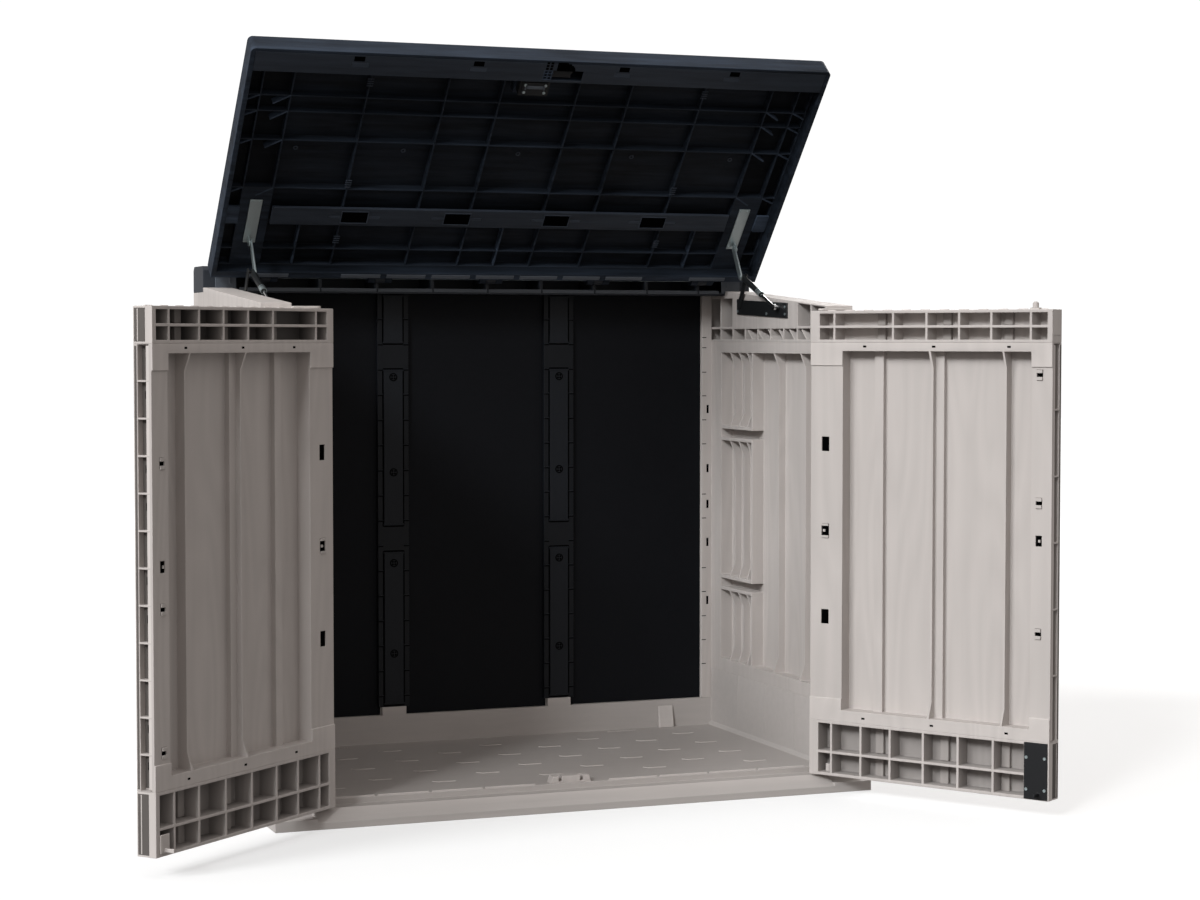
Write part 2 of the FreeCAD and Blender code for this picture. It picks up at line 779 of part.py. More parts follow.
def build_header():
    inner_end = half - header_end_width
    header = new_body("rear_header")
    pad(header, "YZ", (-inner_end, inner_end), header_outline())
    stations = [-inner_end] + spread(knuckle_pitch * -2, knuckle_pitch * 2, 8) + [inner_end]
    bays = cells(stations, [header_bottom + skin, header_top - skin * 3], rib * 2)
    cut(header, "XZ", (header_front, back - skin * 2), *bays)
    lug_start = knuckle_pitch * -2 - knuckle_width / 2
    lug = pad(header, "YZ", (lug_start, lug_start + knuckle_width),
              Tab(lid_axis_y, lid_axis_z, knuckle_radius, header_front + skin))
    repeat_along_x(header, [lug], knuckle_pitch, 5)
    cut(header, "YZ", (-half, half), Circle(lid_axis_y, lid_axis_z, rod_radius + run_fit))

    for name, side in SIDES:
        end = new_body(f"header_end_{name}")
        pad(end, "YZ", (side * inner_end, side * half), header_outline())

    rod = new_body("lid_hinge_rod")
    rod_end = knuckle_pitch * 2 + knuckle_width * 1.5
    pad(rod, "YZ", (-rod_end, rod_end), Circle(lid_axis_y, lid_axis_z, rod_radius))


def lid_body(name):
    """A body drawn at the lid hinge and raised to the resting pose."""
    body = new_body(name)
    place(body, (0, lid_axis_y, lid_axis_z), Vector(-1, 0, 0), lid_rest)
    return body


def build_lid():
    inside = lid_half - lid_rim
    shell = lid_body("lid_shell")
    pad(shell, "XY", (lid_under, lid_rise), rect(-lid_half, lid_front, lid_half, lid_rear))
    dress_edges(shell, "Fillet", lid_corner,
                lambda edge: is_upright(edge) and edge.CenterOfMass.y < lid_rear.value - 1)
    dress_edges(shell, "Fillet", lid_edge, lambda edge: edge.BoundBox.ZMin > lid_rise.value - 0.01)
    # Recess inside the rims, seat of the front strip and hollow front beam
    cut(shell, "XY", (lid_under, rib_under), rect(-inside, beam_rear, inside, lid_rear - lid_hinge_beam))
    front_wall = lid_front + skin * 2
    cut(shell, "XY", (lid_under, lid_under + strip_thickness), rect(-inside, front_wall, inside, beam_rear))
    beam_cells = cells([-inside, -lid_half * 0.45, lid_half * -0.1, lid_half * 0.16, lid_half * 0.45, inside],
                       [front_wall + skin, beam_rear - skin], rib)
    cut(shell, "XY", (lid_under, lid_roof), *beam_cells)
    # Rib grid; the two places behind the stay plates stay solid
    stay_bay = (link_in - 32, wall_inner + 15)
    columns = [stay_bay[0] * share for share in (0.158, 0.383, 0.7)] + list(stay_bay)
    columns = [-inside] + [-x for x in reversed(columns)] + columns + [inside]
    rows = [beam_rear] + [lid_front * share for share in (0.785, 0.72, 0.6)]
    rows += [stay_on_lid * -2.3, stay_on_lid * -0.735, lid_rear - lid_hinge_beam]
    solid = {(1, 4), (1, 5), (9, 4), (9, 5)}
    grid = cells(columns, rows, rib, lambda i, j: (i, j) in solid)
    cut(shell, "XY", (rib_under, lid_roof), *grid)
    # Lock seat, lever stud and hinge knuckles
    lock_left, lock_right = as_size(-64), as_size(10)
    lock_front, lock_rear = beam_rear + 3, beam_rear + 48
    pad(shell, "XY", (rib_under, lid_roof), rect(lock_left - 6, beam_rear, lock_right + 6, lock_rear + 6))
    lever_x, lever_y = as_size(4), lid_front + beam_width * 0.66
    pad(shell, "XY", (lid_under + strip_thickness + 0.5, lid_roof), Circle(lever_x, lever_y, pin_radius))
    knuckles = []
    for side in (-1, 1):
        near = knuckle_width / 2 + knuckle_gap
        start = knuckle_pitch * -2 + near * side
        knuckles.append(pad(shell, "YZ", (start, start + knuckle_width * 0.75 * side),
                            Tab(zero, zero, knuckle_radius, lid_rear - skin)))
    repeat_along_x(shell, knuckles, knuckle_pitch, 5)
    cut(shell, "YZ", (-half, half), Circle(zero, zero, rod_radius + run_fit))

    strip = lid_body("lid_front_strip")
    strip_levels = (lid_under, lid_under + strip_thickness)
    pad(strip, "XY", strip_levels, rect(
        -inside + seat_fit, front_wall + seat_fit, inside - seat_fit, beam_rear))
    clip_y = lid_front + beam_width * 0.55
    clip_places = [lid_half * share for share in (-0.642, -0.249, 0.249, 0.642)]
    clips = [rect(x - 20, clip_y - 6, x + 20, clip_y + 6) for x in clip_places]
    cut(strip, "XY", strip_levels, *clips)
    catch_y = lid_front + beam_width * 0.68
    cut(strip, "XY", strip_levels, rect(-18, catch_y - catch_radius * 2, 80, catch_y + catch_radius * 2))

    beam = lid_body("lid_cross_beam")
    beam_levels = (rib_under - skin * 2, rib_under)
    beam_front, beam_back = stay_on_lid * -1.853, stay_on_lid * -1.416
    beam_end = stay_bay[0] - 6
    pad(beam, "XY", beam_levels, rect(-beam_end, beam_front, beam_end, beam_back))
    slot_y = (beam_front + beam_back) / 2
    slots = [
        Slot(beam_end * share - 60, beam_end * share + 60, slot_y, rib)
        for share in (-0.655, -0.218, 0.218, 0.655)
    ]
    cut(beam, "XY", beam_levels, *slots)

    lock = lid_body("lid_lock_body")
    lock_under = rib_under - 20
    pad(lock, "XY", (lock_under, rib_under), rect(lock_left, lock_front, lock_right, lock_rear))
    dress_edges(lock, "Fillet", rib, is_upright)

    plate = lid_body("lid_lock_plate")
    plate_under = lock_under - plate_thickness
    pad(plate, "XY", (plate_under, lock_under),
        rect(lock_left + 5, lock_front + 5, lock_right - 5, lock_rear - 5))
    screws = lid_body("lid_lock_screws")
    corners = [
        (x, y)
        for x in (lock_left + 12, lock_right - 12)
        for y in (lock_front + 12, lock_rear - 12)
    ]
    screw_heads(screws, "XY", plate_under, -1, corners)

    lever = lid_body("latch_lever")
    lever_low = lid_under + strip_thickness + 1.5
    lever_levels = (lever_low, lever_low + skin)
    pad(lever, "XY", lever_levels, Slot(lever_x, lever_x + 46, lever_y, stay_eye))
    cut(lever, "XY", lever_levels, Circle(lever_x, lever_y, pin_radius + run_fit))
    cut(lever, "XY", lever_levels, Circle(catch_offset, lever_y + 2, catch_radius + 3))

    stay_screws = lid_body("lid_stay_screws")
    centres = []
    for name, side in SIDES:
        mount = lid_body(f"lid_stay_plate_{name}")
        plate_in, plate_out = link_in - 12, stay_mount - 3
        plate_front, plate_rear = -stay_on_lid * 2, -stay_on_lid + 12
        mount_under = rib_under - plate_thickness
        pad(mount, "XY", (mount_under, rib_under),
            rect(side * plate_in, plate_front, side * plate_out, plate_rear))
        ear = (side * eye_in, side * (eye_in + plate_thickness))
        pivot = (-stay_on_lid, -stay_below_lid)
        pad(mount, "YZ", ear, rect(pivot[0] - stay_eye, pivot[1], pivot[0] + stay_eye, mount_under))
        pad(mount, "YZ", ear, Circle(*pivot, stay_eye))
        pad(mount, "YZ", (side * (link_in - 0.5), side * eye_in), Circle(*pivot, stay_pin))
        for y in (plate_front + 7, plate_rear - 8):
            for x in (plate_in + 6, plate_out - 5):
                centres.append((side * x, y))
    screw_heads(stay_screws, "XY", mount_under, -1, centres)


def is_upright(edge):
    return edge.BoundBox.XLength < 0.01 and edge.BoundBox.YLength < 0.01


def build_door(name, side, opening):
    def door_body(piece):
        body = new_body(f"door_{name}_{piece}")
        place(body, (side * hinge_x, hinge_y, 0), Vector(0, 0, side), opening)
        return body

    def across(share):
        """Place across the door, from the hinge edge at 0 to the free edge at 1."""
        return side * (hinge_inset - door_width * share)

    def face(low, high, share_in, share_out):
        return rect(across(share_in), low, across(share_out), high)

    free_edge = across(1)
    lines = (0.275, 0.526, 0.795)
    outline_x = (across(0), free_edge)
    skin_depth = (door_outer + skin, door_inner)

    def slab(piece, low, high):
        body = door_body(piece)
        pad(body, "XY", (low, high), rect(outline_x[0], door_outer, outline_x[1], door_inner))
        # Board lines on the outside
        grooves = [
            rect(across(share) - groove_width / 2, low, across(share) + groove_width / 2, high)
            for share in lines
        ]
        cut(body, "XZ", (door_outer, door_outer + groove_depth), *grooves)
        return body

    def band_cells(shares, low, middle, high):
        stations = [across(share) for share in shares]
        if stations[0].value > stations[-1].value:
            stations.reverse()
        return cells(stations, [low + skin, middle, high - skin], rib * 1.5)

    top = slab("top_band", band_bottom, door_top)
    cut(top, "XZ", skin_depth, *band_cells(
        (0.035, 0.103, 0.354, 0.494, 0.628, 0.758, 0.915, 0.985), band_bottom, band_middle, door_top))
    cut(top, "XY", (door_top - pin_grip, door_top), Circle(zero, zero, pin_radius))

    panel = slab("panel", bottom_band_top, band_bottom)
    low, high = bottom_band_top + 28, band_bottom - 20
    board_shares = ((0.139, 0.255), (0.293, 0.503), (0.548, 0.803), (0.811, 0.918))
    cut(panel, "XZ", (door_inner - door_board_recess, door_inner), *[
        face(low, high, *pair) for pair in board_shares
    ])
    # Low bars beside the boards, and fins whose ends rise to the frame
    cut(panel, "XZ", (door_inner - bar_recess, door_inner), *[
        face(low, high, *pair) for pair in ((0.255, 0.293), (0.513, 0.548))
    ])
    fin_top = door_inner - fin_recess
    profile = [(door_inner, low), (door_inner, high), (fin_top, high - gusset), (fin_top, low + gusset)]
    for near, far in ((0.503, 0.513), (0.803, 0.811)):
        cut(panel, "YZ", (across(near), across(far)), Polygon(profile))
    # Clip windows in both stiles
    def up(share):
        return between(bottom_band_top, band_bottom, share)

    windows = [face(up(share) - 17, up(share) + 17, 0.048, 0.08) for share in (0.276, 0.504, 0.733)]
    clip_shares = (0.272, 0.505, 0.6, 0.92) if side > 0 else (0.085, 0.407, 0.502, 0.733)
    windows += [face(up(share) - 12, up(share) + 12, 0.938, 0.962) for share in clip_shares]
    cut(panel, "XZ", (door_inner - 12, door_inner), *windows)
    # Stiles stepped back between the corner blocks
    block = (bottom_band_top + corner_block, band_bottom - corner_block)
    cut(panel, "XZ", (door_inner - stile_step, door_inner), face(*block, 0, 0.139), face(*block, 0.918, 1))
    # Channel with cross ribs along the free edge
    bays = spread(bottom_band_top, band_bottom, 6 if side > 0 else 12)
    channel_floor = across(0.974)
    cut(panel, "YZ", (free_edge, channel_floor), *cells([zero, door_inner - skin * 2], bays, rib))

    bottom = slab("bottom_band", door_bottom, bottom_band_top)
    cut(bottom, "XZ", skin_depth, *band_cells(
        (0.035, 0.096, 0.224, 0.349, 0.489, 0.633, 0.776, 0.905, 0.985),
        door_bottom, bottom_band_middle, bottom_band_top))
    cut(bottom, "XY", (door_bottom, door_bottom + pin_grip), Circle(zero, zero, pin_radius))
    # Round boss in the first cell beside the hinge
    pad(bottom, "XY", (door_bottom, door_bottom + pin_grip),
        Circle(across(0.066), (door_outer + door_inner) / 2, pin_radius * 2))

    pins = door_body("hinge_pins")
    pad(pins, "XY", (door_top - pin_grip, door_top + pin_stub), Circle(zero, zero, pin_radius))
    lower_end = door_bottom - (door_bottom - groove_floor) - socket_depth + 2
    pad(pins, "XY", (lower_end, door_bottom + pin_grip), Circle(zero, zero, pin_radius))

    # Tongue that enters the sill strike when the door is shut
    plate_level = (door_inner, door_inner + plate_thickness)
    tongue_x = side * (tongue_offset - hinge_x)
    tongue_low, tongue_high = floor_top + 6, floor_top + 14

    def tongue_plate(piece, outline):
        plate = door_body(piece)
        pad(plate, "XZ", plate_level, outline)
        pad(plate, "XZ", (door_inner, door_inner + tongue_reach), rect(
            tongue_x - tongue_width / 2, tongue_low, tongue_x + tongue_width / 2, tongue_high))
        return plate

    if side < 0:
        tongue_plate("foot", rect(tongue_x - 14, ridge_top + 2, tongue_x + 14, ridge_top + 40))
        return
    plate_low, plate_high = door_bottom + 2, bottom_band_top - 1
    tongue_plate("bolt_plate", face(plate_low, plate_high, 0.903, 0.995))
    plate_face = door_inner + plate_thickness
    screws = door_body("bolt_screws")
    screw_heads(screws, "XZ", plate_face, 1, [
        (across(share), z)
        for share in (0.913, 0.985)
        for z in (plate_low + 22, plate_high - 34)
    ])
    # Keeper let into the free edge, held by two screws from the last cells of the top band
    keeper_seat = free_edge + keeper_depth
    keeper = rect(door_outer + 6, door_top - keeper_height, door_inner - 6, door_top)
    cut(top, "YZ", (free_edge, keeper_seat), keeper)
    edge_plate = door_body("edge_plate")
    pad(edge_plate, "YZ", (keeper_seat, free_edge - keeper_depth / 4), keeper)
    edge_screws = door_body("edge_screws")
    screw_heads(edge_screws, "YZ", across(0.985) + rib * 0.75, 1, [
        (door_inner - 14, (band_bottom + band_middle) / 2),
        (door_inner - 14, (band_middle + door_top) / 2),
    ])
    catch = door_body("top_pin")
    catch_x, catch_top = catch_offset - hinge_x, door_top + catch_height
    pad(catch, "XY", (door_top, catch_top), Circle(catch_x, zero, catch_radius))
    foot = rect(catch_x - 11, -catch_radius, catch_x + 11, catch_radius)
    pad(catch, "XY", (door_top, door_top + catch_foot), foot)
    dress_edges(catch, "Chamfer", catch_radius / 2, lambda edge: edge.BoundBox.ZMin > catch_top.value - 0.01)


def build_stays():
    x_axis = Vector(1, 0, 0)
    centres = []
    for name, side in SIDES:
        plate = new_body(f"stay_plate_{name}")
        rear, foot = stay_plate_rear, stay_plate_front
        pad(plate, "YZ", (side * stay_mount, side * wall_inner), Polygon([
            (foot, spring_foot_z - 28),
            (rear, arm_pivot_z - 24),
            (rear, arm_pivot_z + 16),
            (arm_pivot_y - 30, arm_pivot_z + 12),
            (foot, spring_foot_z + 10),
        ]))
        pad(plate, "YZ", (side * (lower_arm_in - 0.5), side * stay_mount),
            Circle(arm_pivot_y, arm_pivot_z, stay_pin))
        pad(plate, "YZ", (side * (stay_mount - screw_head), side * stay_mount),
            Circle(spring_foot_y, spring_foot_z, stay_pin * 1.6))
        centres.append([
            (foot + 10, spring_foot_z - 18),
            (foot + 10, spring_foot_z),
            (rear - 7, arm_pivot_z - 16),
            (spring_foot_y + 75, spring_foot_z - 16),
        ])

        arm = new_body(f"stay_lower_arm_{name}")
        place(arm, (0, arm_pivot_y, arm_pivot_z), x_axis, arm_angle)
        arm_levels = (side * lower_arm_in, side * (lower_arm_in + stay_arm_thickness))
        pad(arm, "YZ", arm_levels, Slot(zero, arm_length, zero, stay_eye))
        pad(arm, "YZ", (side * (link_out + 0.5), side * lower_arm_in), Circle(arm_length, zero, stay_pin))
        cut(arm, "YZ", arm_levels, Circle(zero, zero, stay_pin + run_fit))

        link = new_body(f"stay_upper_link_{name}")
        place(link, (0, lid_pivot_y, lid_pivot_z), x_axis, link_angle)
        link_levels = (side * link_in, side * link_out)
        pad(link, "YZ", link_levels, Slot(zero, link_length, zero, stay_eye))
        pad(link, "YZ", (side * (link_in - screw_head), side * link_in),
            Circle(link_length, zero, stay_pin * 1.5))
        cut(link, "YZ", link_levels, Circle(zero, zero, stay_pin + run_fit))

        tube = new_body(f"stay_cylinder_{name}")
        place(tube, (0, knee_y, knee_z), x_axis, spring_angle)
        eye_levels = (side * eye_in, side * eye_out)
        tube_end = tube_start + tube_length
        pad(tube, "YZ", eye_levels, Slot(zero, tube_start, zero, stay_eye * 0.8))
        pad(tube, "XZ", (tube_start, tube_end), Circle(side * eye_middle, zero, tube_radius))
        cut(tube, "YZ", eye_levels, Circle(zero, zero, stay_pin + run_fit))
        cut(tube, "XZ", (tube_start + tube_end_wall, tube_end),
            Circle(side * eye_middle, zero, spring_rod_radius + run_fit))

        piston = new_body(f"stay_rod_{name}")
        place(piston, (0, knee_y, knee_z), x_axis, spring_angle)
        pad(piston, "XZ", (spring_length - spring_rod_length, spring_length),
            Circle(side * eye_middle, zero, spring_rod_radius))
        pad(piston, "YZ", eye_levels, Circle(spring_length, zero, stay_eye * 0.8))
        pad(piston, "YZ", (side * eye_out, side * (stay_mount - screw_head - 0.5)),
            Circle(spring_length, zero, stay_pin))

    screws = new_body("stay_plate_screws")
    for (_, side), holes in zip(SIDES, centres):
        screw_heads(screws, "YZ", side * stay_mount, -side, holes)


build_base()
for side_name, side_sign in SIDES:
    build_side(side_name, side_sign)
build_back()
build_header()
build_lid()
build_door("left", -1, left_open)
build_door("right", 1, right_open)
build_stays()
doc.recompute()

# Nothing is written unless every object is sound
for item in doc.Objects:
    faults = {"Invalid", "Error"} & set(item.State)
    if faults:
        raise RuntimeError(f"{item.Label} is {faults}")
os.makedirs("parts", exist_ok=True)
for body in bodies:
    if body.Shape.isNull() or not body.Shape.isValid():
        raise RuntimeError(f"{body.Label} has no valid shape")
for body in bodies:
    body.Shape.exportStep(f"parts/{body.Label}.step")
print(f"{len(bodies)} parts written")
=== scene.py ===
"""Looks of the garden storage box: finishes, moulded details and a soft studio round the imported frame."""

import json
import logging
import math
from dataclasses import dataclass, replace
from enum import Enum

import bmesh
import bpy
from mathutils import Matrix, Vector


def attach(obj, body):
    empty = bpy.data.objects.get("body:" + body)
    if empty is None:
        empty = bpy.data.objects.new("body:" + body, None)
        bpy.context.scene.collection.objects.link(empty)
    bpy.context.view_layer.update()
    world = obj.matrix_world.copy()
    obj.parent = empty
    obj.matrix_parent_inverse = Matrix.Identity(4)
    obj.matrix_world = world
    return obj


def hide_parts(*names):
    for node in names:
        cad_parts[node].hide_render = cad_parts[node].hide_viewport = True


Pair = tuple[float, float]
Triple = tuple[float, float, float]

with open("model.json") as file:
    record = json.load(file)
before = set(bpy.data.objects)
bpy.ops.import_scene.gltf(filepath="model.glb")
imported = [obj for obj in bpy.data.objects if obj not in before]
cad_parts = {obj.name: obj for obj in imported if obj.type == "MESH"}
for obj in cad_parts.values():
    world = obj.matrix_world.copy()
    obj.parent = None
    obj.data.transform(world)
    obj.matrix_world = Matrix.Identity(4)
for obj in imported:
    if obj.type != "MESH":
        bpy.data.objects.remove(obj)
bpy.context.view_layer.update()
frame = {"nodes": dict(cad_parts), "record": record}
MM = 0.001
SIDES = (-1, 1)
AT_ORIGIN = Matrix.Identity(4)
SOFT_ANGLE = math.radians(32.0)
BAR_EASE = 0.4
EASE_SHARE = 0.3

log = logging.getLogger("garden_store")


class Grain(Enum):
    """How the surface of a piece is worked, as scales of its streaks along x, y and z."""

    BOARD = (34.0, 34.0, 1.6)
    SHEET = (5.0, 64.0, 64.0)
    PEBBLE = (220.0, 220.0, 220.0)
    BRUSHED = (900.0, 60.0, 900.0)


@dataclass(frozen=True)
class Pattern:
    """Scales and limits that all finishes share.

    Attributes:
        streak_detail: Octaves of the streaks.
        streak_roughness: Strength of their fine octaves.
        flame_scale: Stretch of the broad figure on boards.
        flame_detail: Octaves of the figure.
        flame_rings: How often the figure folds.
        flame_share: Share of the figure in the streaks.
        cloud_scale: Scale of the slow wander over a piece.
        cloud_detail: Octaves of the slow wander.
        cloud_share: Share of the slow wander in colour and roughness.
        ramp: Where the colour is darkest and where it is palest.
        pale: Outward curvature where the paler edges, partly wear and partly a painted highlight, start,
            and where they are palest.
        dark: Inward curvature where the painted shade in a corner is darkest, and where it stops.
        mould_scale: Scale of the fine mould texture.
        mould_detail: Octaves of the mould texture.
        mould_share: Share of the mould texture in the bump.
        bump: Strength of the bump.
    """

    streak_detail: float = 6.0
    streak_roughness: float = 0.62
    flame_scale: Triple = (7.0, 7.0, 0.9)
    flame_detail: float = 1.2
    flame_rings: float = 26.0
    flame_share: float = 0.3
    cloud_scale: float = 3.2
    cloud_detail: float = 3.0
    cloud_share: float = 0.4
    ramp: Pair = (0.36, 0.64)
    pale: Pair = (0.52, 0.60)
    dark: Pair = (0.44, 0.495)
    mould_scale: float = 620.0
    mould_detail: float = 2.0
    mould_share: float = 0.3
    bump: float = 0.6


PATTERN = Pattern()


def add_node(
    tree: bpy.types.NodeTree,
    kind: str,
    values: dict[str | int, float | Triple] | None = None,
    **settings: str,
) -> bpy.types.Node:
    """Add one node with its settings and the constants on its sockets.

    Args:
        tree: Node tree to add to.
        kind: Type of the node.
        values: Constants, by name or number of the socket.
        settings: Choices of the node itself.

    Returns:
        The new node.
    """
    node = tree.nodes.new(kind)
    for name, choice in settings.items():
        setattr(node, name, choice)
    for socket, value in (values or {}).items():
        node.inputs[socket].default_value = value
    return node


@dataclass(frozen=True)
class Finish:
    """One surface finish, turned into a procedural material.

    Attributes:
        name: Name of the material.
        colour: Main colour, linear.
        grain: Working of the surface.
        roughness: Middle roughness.
        swing: How far roughness wanders.
        shade: How far the colour wanders, as a share.
        relief: Depth of the bump, in metres.
        metallic: Metalness of the surface.
        edge: How much paler exposed edges are, as a share: partly wear, partly a painted highlight.
        hollow: How much darker inner corners are painted, as a share: painted shade.
        specular: Strength of the reflection.
    """

    name: str
    colour: Triple
    grain: Grain
    roughness: float
    swing: float
    shade: float
    relief: float
    metallic: float = 0.0
    edge: float = 0.0
    hollow: float = 0.0
    specular: float = 0.5

    def tinted(self, share: float) -> tuple[float, float, float, float]:
        """Main colour scaled by a share."""
        red, green, blue = (min(1.0, channel * share) for channel in self.colour)
        return (red, green, blue, 1.0)

    def material(self) -> bpy.types.Material:
        """Build the node tree once and reuse it.

        Returns:
            The finished material.
        """
        made = bpy.data.materials.get(self.name)
        if made:
            return made
        made = bpy.data.materials.new(self.name)
        made.use_nodes = True
        tree = made.node_tree
        tree.nodes.clear()
        link = tree.links.new
        output = add_node(tree, "ShaderNodeOutputMaterial")
        shader = add_node(tree, "ShaderNodeBsdfPrincipled")
        shader.inputs["Metallic"].default_value = self.metallic
        shader.inputs["Specular IOR Level"].default_value = self.specular
        link(shader.outputs["BSDF"], output.inputs["Surface"])
        place = add_node(tree, "ShaderNodeTexCoord")
        streak = self._streaks(tree, place)
        wander = self._wander(tree, place, streak)
        link(self._colour(tree, wander), shader.inputs["Base Color"])
        limits = {"To Min": self.roughness - self.swing, "To Max": self.roughness + self.swing}
        span = add_node(tree, "ShaderNodeMapRange", limits)
        link(wander, span.inputs["Value"])
        link(span.outputs["Result"], shader.inputs["Roughness"])
        self._relief(tree, streak, place, shader)
        return made

    def _streaks(self, tree: bpy.types.NodeTree, place: bpy.types.Node) -> bpy.types.NodeSocket:
        """Streaks of the surface, with the flame figure of sawn wood on boards.

        Args:
            tree: Node tree of the material.
            place: Texture coordinates.

        Returns:
            The streaks, from 0 to 1.
        """
        link = tree.links.new
        stretch = add_node(tree, "ShaderNodeMapping", {"Scale": self.grain.value})
        link(place.outputs["Object"], stretch.inputs["Vector"])
        octaves = {"Scale": 1.0, "Detail": PATTERN.streak_detail, "Roughness": PATTERN.streak_roughness}
        streak = add_node(tree, "ShaderNodeTexNoise", octaves)
        link(stretch.outputs["Vector"], streak.inputs["Vector"])
        if self.grain is not Grain.BOARD:
            return streak.outputs["Fac"]
        broad = add_node(tree, "ShaderNodeMapping", {"Scale": PATTERN.flame_scale})
        link(place.outputs["Object"], broad.inputs["Vector"])
        figure = add_node(tree, "ShaderNodeTexNoise", {"Scale": 1.0, "Detail": PATTERN.flame_detail})
        link(broad.outputs["Vector"], figure.inputs["Vector"])
        rings = add_node(tree, "ShaderNodeMath", {1: PATTERN.flame_rings}, operation="MULTIPLY")
        link(figure.outputs["Fac"], rings.inputs[0])
        fold = add_node(tree, "ShaderNodeMath", {1: 1.0}, operation="PINGPONG")
        link(rings.outputs["Value"], fold.inputs[0])
        both = add_node(tree, "ShaderNodeMix", {"Factor": PATTERN.flame_share}, data_type="FLOAT")
        link(streak.outputs["Fac"], both.inputs["A"])
        link(fold.outputs["Value"], both.inputs["B"])
        return both.outputs["Result"]

    def _wander(
        self, tree: bpy.types.NodeTree, place: bpy.types.Node, streak: bpy.types.NodeSocket
    ) -> bpy.types.NodeSocket:
        """Mix the grain with a slow change over the whole piece.

        Args:
            tree: Node tree of the material.
            place: Texture coordinates.
            streak: Grain of the surface.

        Returns:
            The mixture, from 0 to 1.
        """
        link = tree.links.new
        octaves = {"Scale": PATTERN.cloud_scale, "Detail": PATTERN.cloud_detail}
        cloud = add_node(tree, "ShaderNodeTexNoise", octaves)
        link(place.outputs["Object"], cloud.inputs["Vector"])
        blend = add_node(tree, "ShaderNodeMix", {"Factor": PATTERN.cloud_share}, data_type="FLOAT")
        link(streak, blend.inputs["A"])
        link(cloud.outputs["Fac"], blend.inputs["B"])
        return blend.outputs["Result"]

    def _colour(self, tree: bpy.types.NodeTree, wander: bpy.types.NodeSocket) -> bpy.types.NodeSocket:
        """Colour that wanders, with pale edges (wear and painted highlight) and painted shade in the
        corners where the finish has them.

        Args:
            tree: Node tree of the material.
            wander: How the surface changes from place to place.

        Returns:
            The colour of the surface.
        """
        ramp = add_node(tree, "ShaderNodeValToRGB")
        shares = (1.0 - self.shade, 1.0 + self.shade)
        for stop, position, share in zip(ramp.color_ramp.elements, PATTERN.ramp, shares):
            stop.position = position
            stop.color = self.tinted(share)
        tree.links.new(wander, ramp.inputs["Fac"])
        if self.edge > 0.0 or self.hollow > 0.0:
            return self._wear_highlight_and_shade(tree, ramp.outputs["Color"])
        return ramp.outputs["Color"]

    def _wear_highlight_and_shade(self, tree: bpy.types.NodeTree, colour: bpy.types.NodeSocket) -> bpy.types.NodeSocket:
        """Pale edges, partly wear and partly a painted highlight, and dark inner corners, which are painted
        shade.

        Args:
            tree: Node tree of the material.
            colour: Colour so far.

        Returns:
            The colour with paler edges and darker corners.
        """
        link = tree.links.new
        shape = add_node(tree, "ShaderNodeNewGeometry")
        # Painted highlight, partly wear: edges that curve outward are made paler.
        outward = {"From Min": PATTERN.pale[0], "From Max": PATTERN.pale[1], "To Max": self.edge}
        pale = add_node(tree, "ShaderNodeMapRange", outward)
        link(shape.outputs["Pointiness"], pale.inputs["Value"])
        # Painted shade: corners that curve inward are made darker.
        inward = {"From Min": PATTERN.dark[0], "From Max": PATTERN.dark[1], "To Min": 1.0 - self.hollow}
        dark = add_node(tree, "ShaderNodeMapRange", inward)
        link(shape.outputs["Pointiness"], dark.inputs["Value"])
        share = add_node(tree, "ShaderNodeMath", operation="ADD")
        link(pale.outputs["Result"], share.inputs[0])
        link(dark.outputs["Result"], share.inputs[1])
        wear_and_painted_light = add_node(tree, "ShaderNodeVectorMath", operation="SCALE")
        link(colour, wear_and_painted_light.inputs[0])
        link(share.outputs["Value"], wear_and_painted_light.inputs["Scale"])
        return wear_and_painted_light.outputs["Vector"]

    def _relief(
        self,
        tree: bpy.types.NodeTree,
        streak: bpy.types.NodeSocket,
        place: bpy.types.Node,
        shader: bpy.types.Node,
    ) -> None:
        """Bump from the grain and a fine mould texture.

        Args:
            tree: Node tree of the material.
            streak: Grain of the surface.
            place: Texture coordinates.
            shader: Surface shader.
        """
        link = tree.links.new
        octaves = {"Scale": PATTERN.mould_scale, "Detail": PATTERN.mould_detail}
        fine = add_node(tree, "ShaderNodeTexNoise", octaves)
        link(place.outputs["Object"], fine.inputs["Vector"])
        height = add_node(tree, "ShaderNodeMath", {1: PATTERN.mould_share}, operation="MULTIPLY_ADD")
        link(fine.outputs["Fac"], height.inputs[0])
        link(streak, height.inputs[2])
        bump = add_node(tree, "ShaderNodeBump", {"Strength": PATTERN.bump, "Distance": self.relief})
        link(height.outputs["Value"], bump.inputs["Height"])
        link(bump.outputs["Normal"], shader.inputs["Normal"])


# The edge share of each finish paints exposed edges paler, partly as wear and partly as a painted
# highlight; the hollow share paints shade into inner corners.
TAUPE = Finish(
    "taupe board resin", (0.455, 0.418, 0.398), Grain.BOARD,
    roughness=0.55, swing=0.08, shade=0.045, relief=0.0006, edge=0.2, specular=0.3)
# Painted shade: band cells darken in their inner corners, the left door's top band cells most deeply.
BAND_TAUPE_PAINTED_SHADE = replace(TAUPE, name="taupe band resin with painted corner shade", shade=0.06, edge=0.25, hollow=0.42)
CELL_TAUPE_DEEP_PAINTED_SHADE = replace(BAND_TAUPE_PAINTED_SHADE, name="taupe cell resin", hollow=0.75)
CLIP_TAUPE = Finish(
    "taupe clip resin", (0.440, 0.405, 0.385), Grain.BOARD,
    roughness=0.55, swing=0.08, shade=0.05, relief=0.0004, specular=0.3)
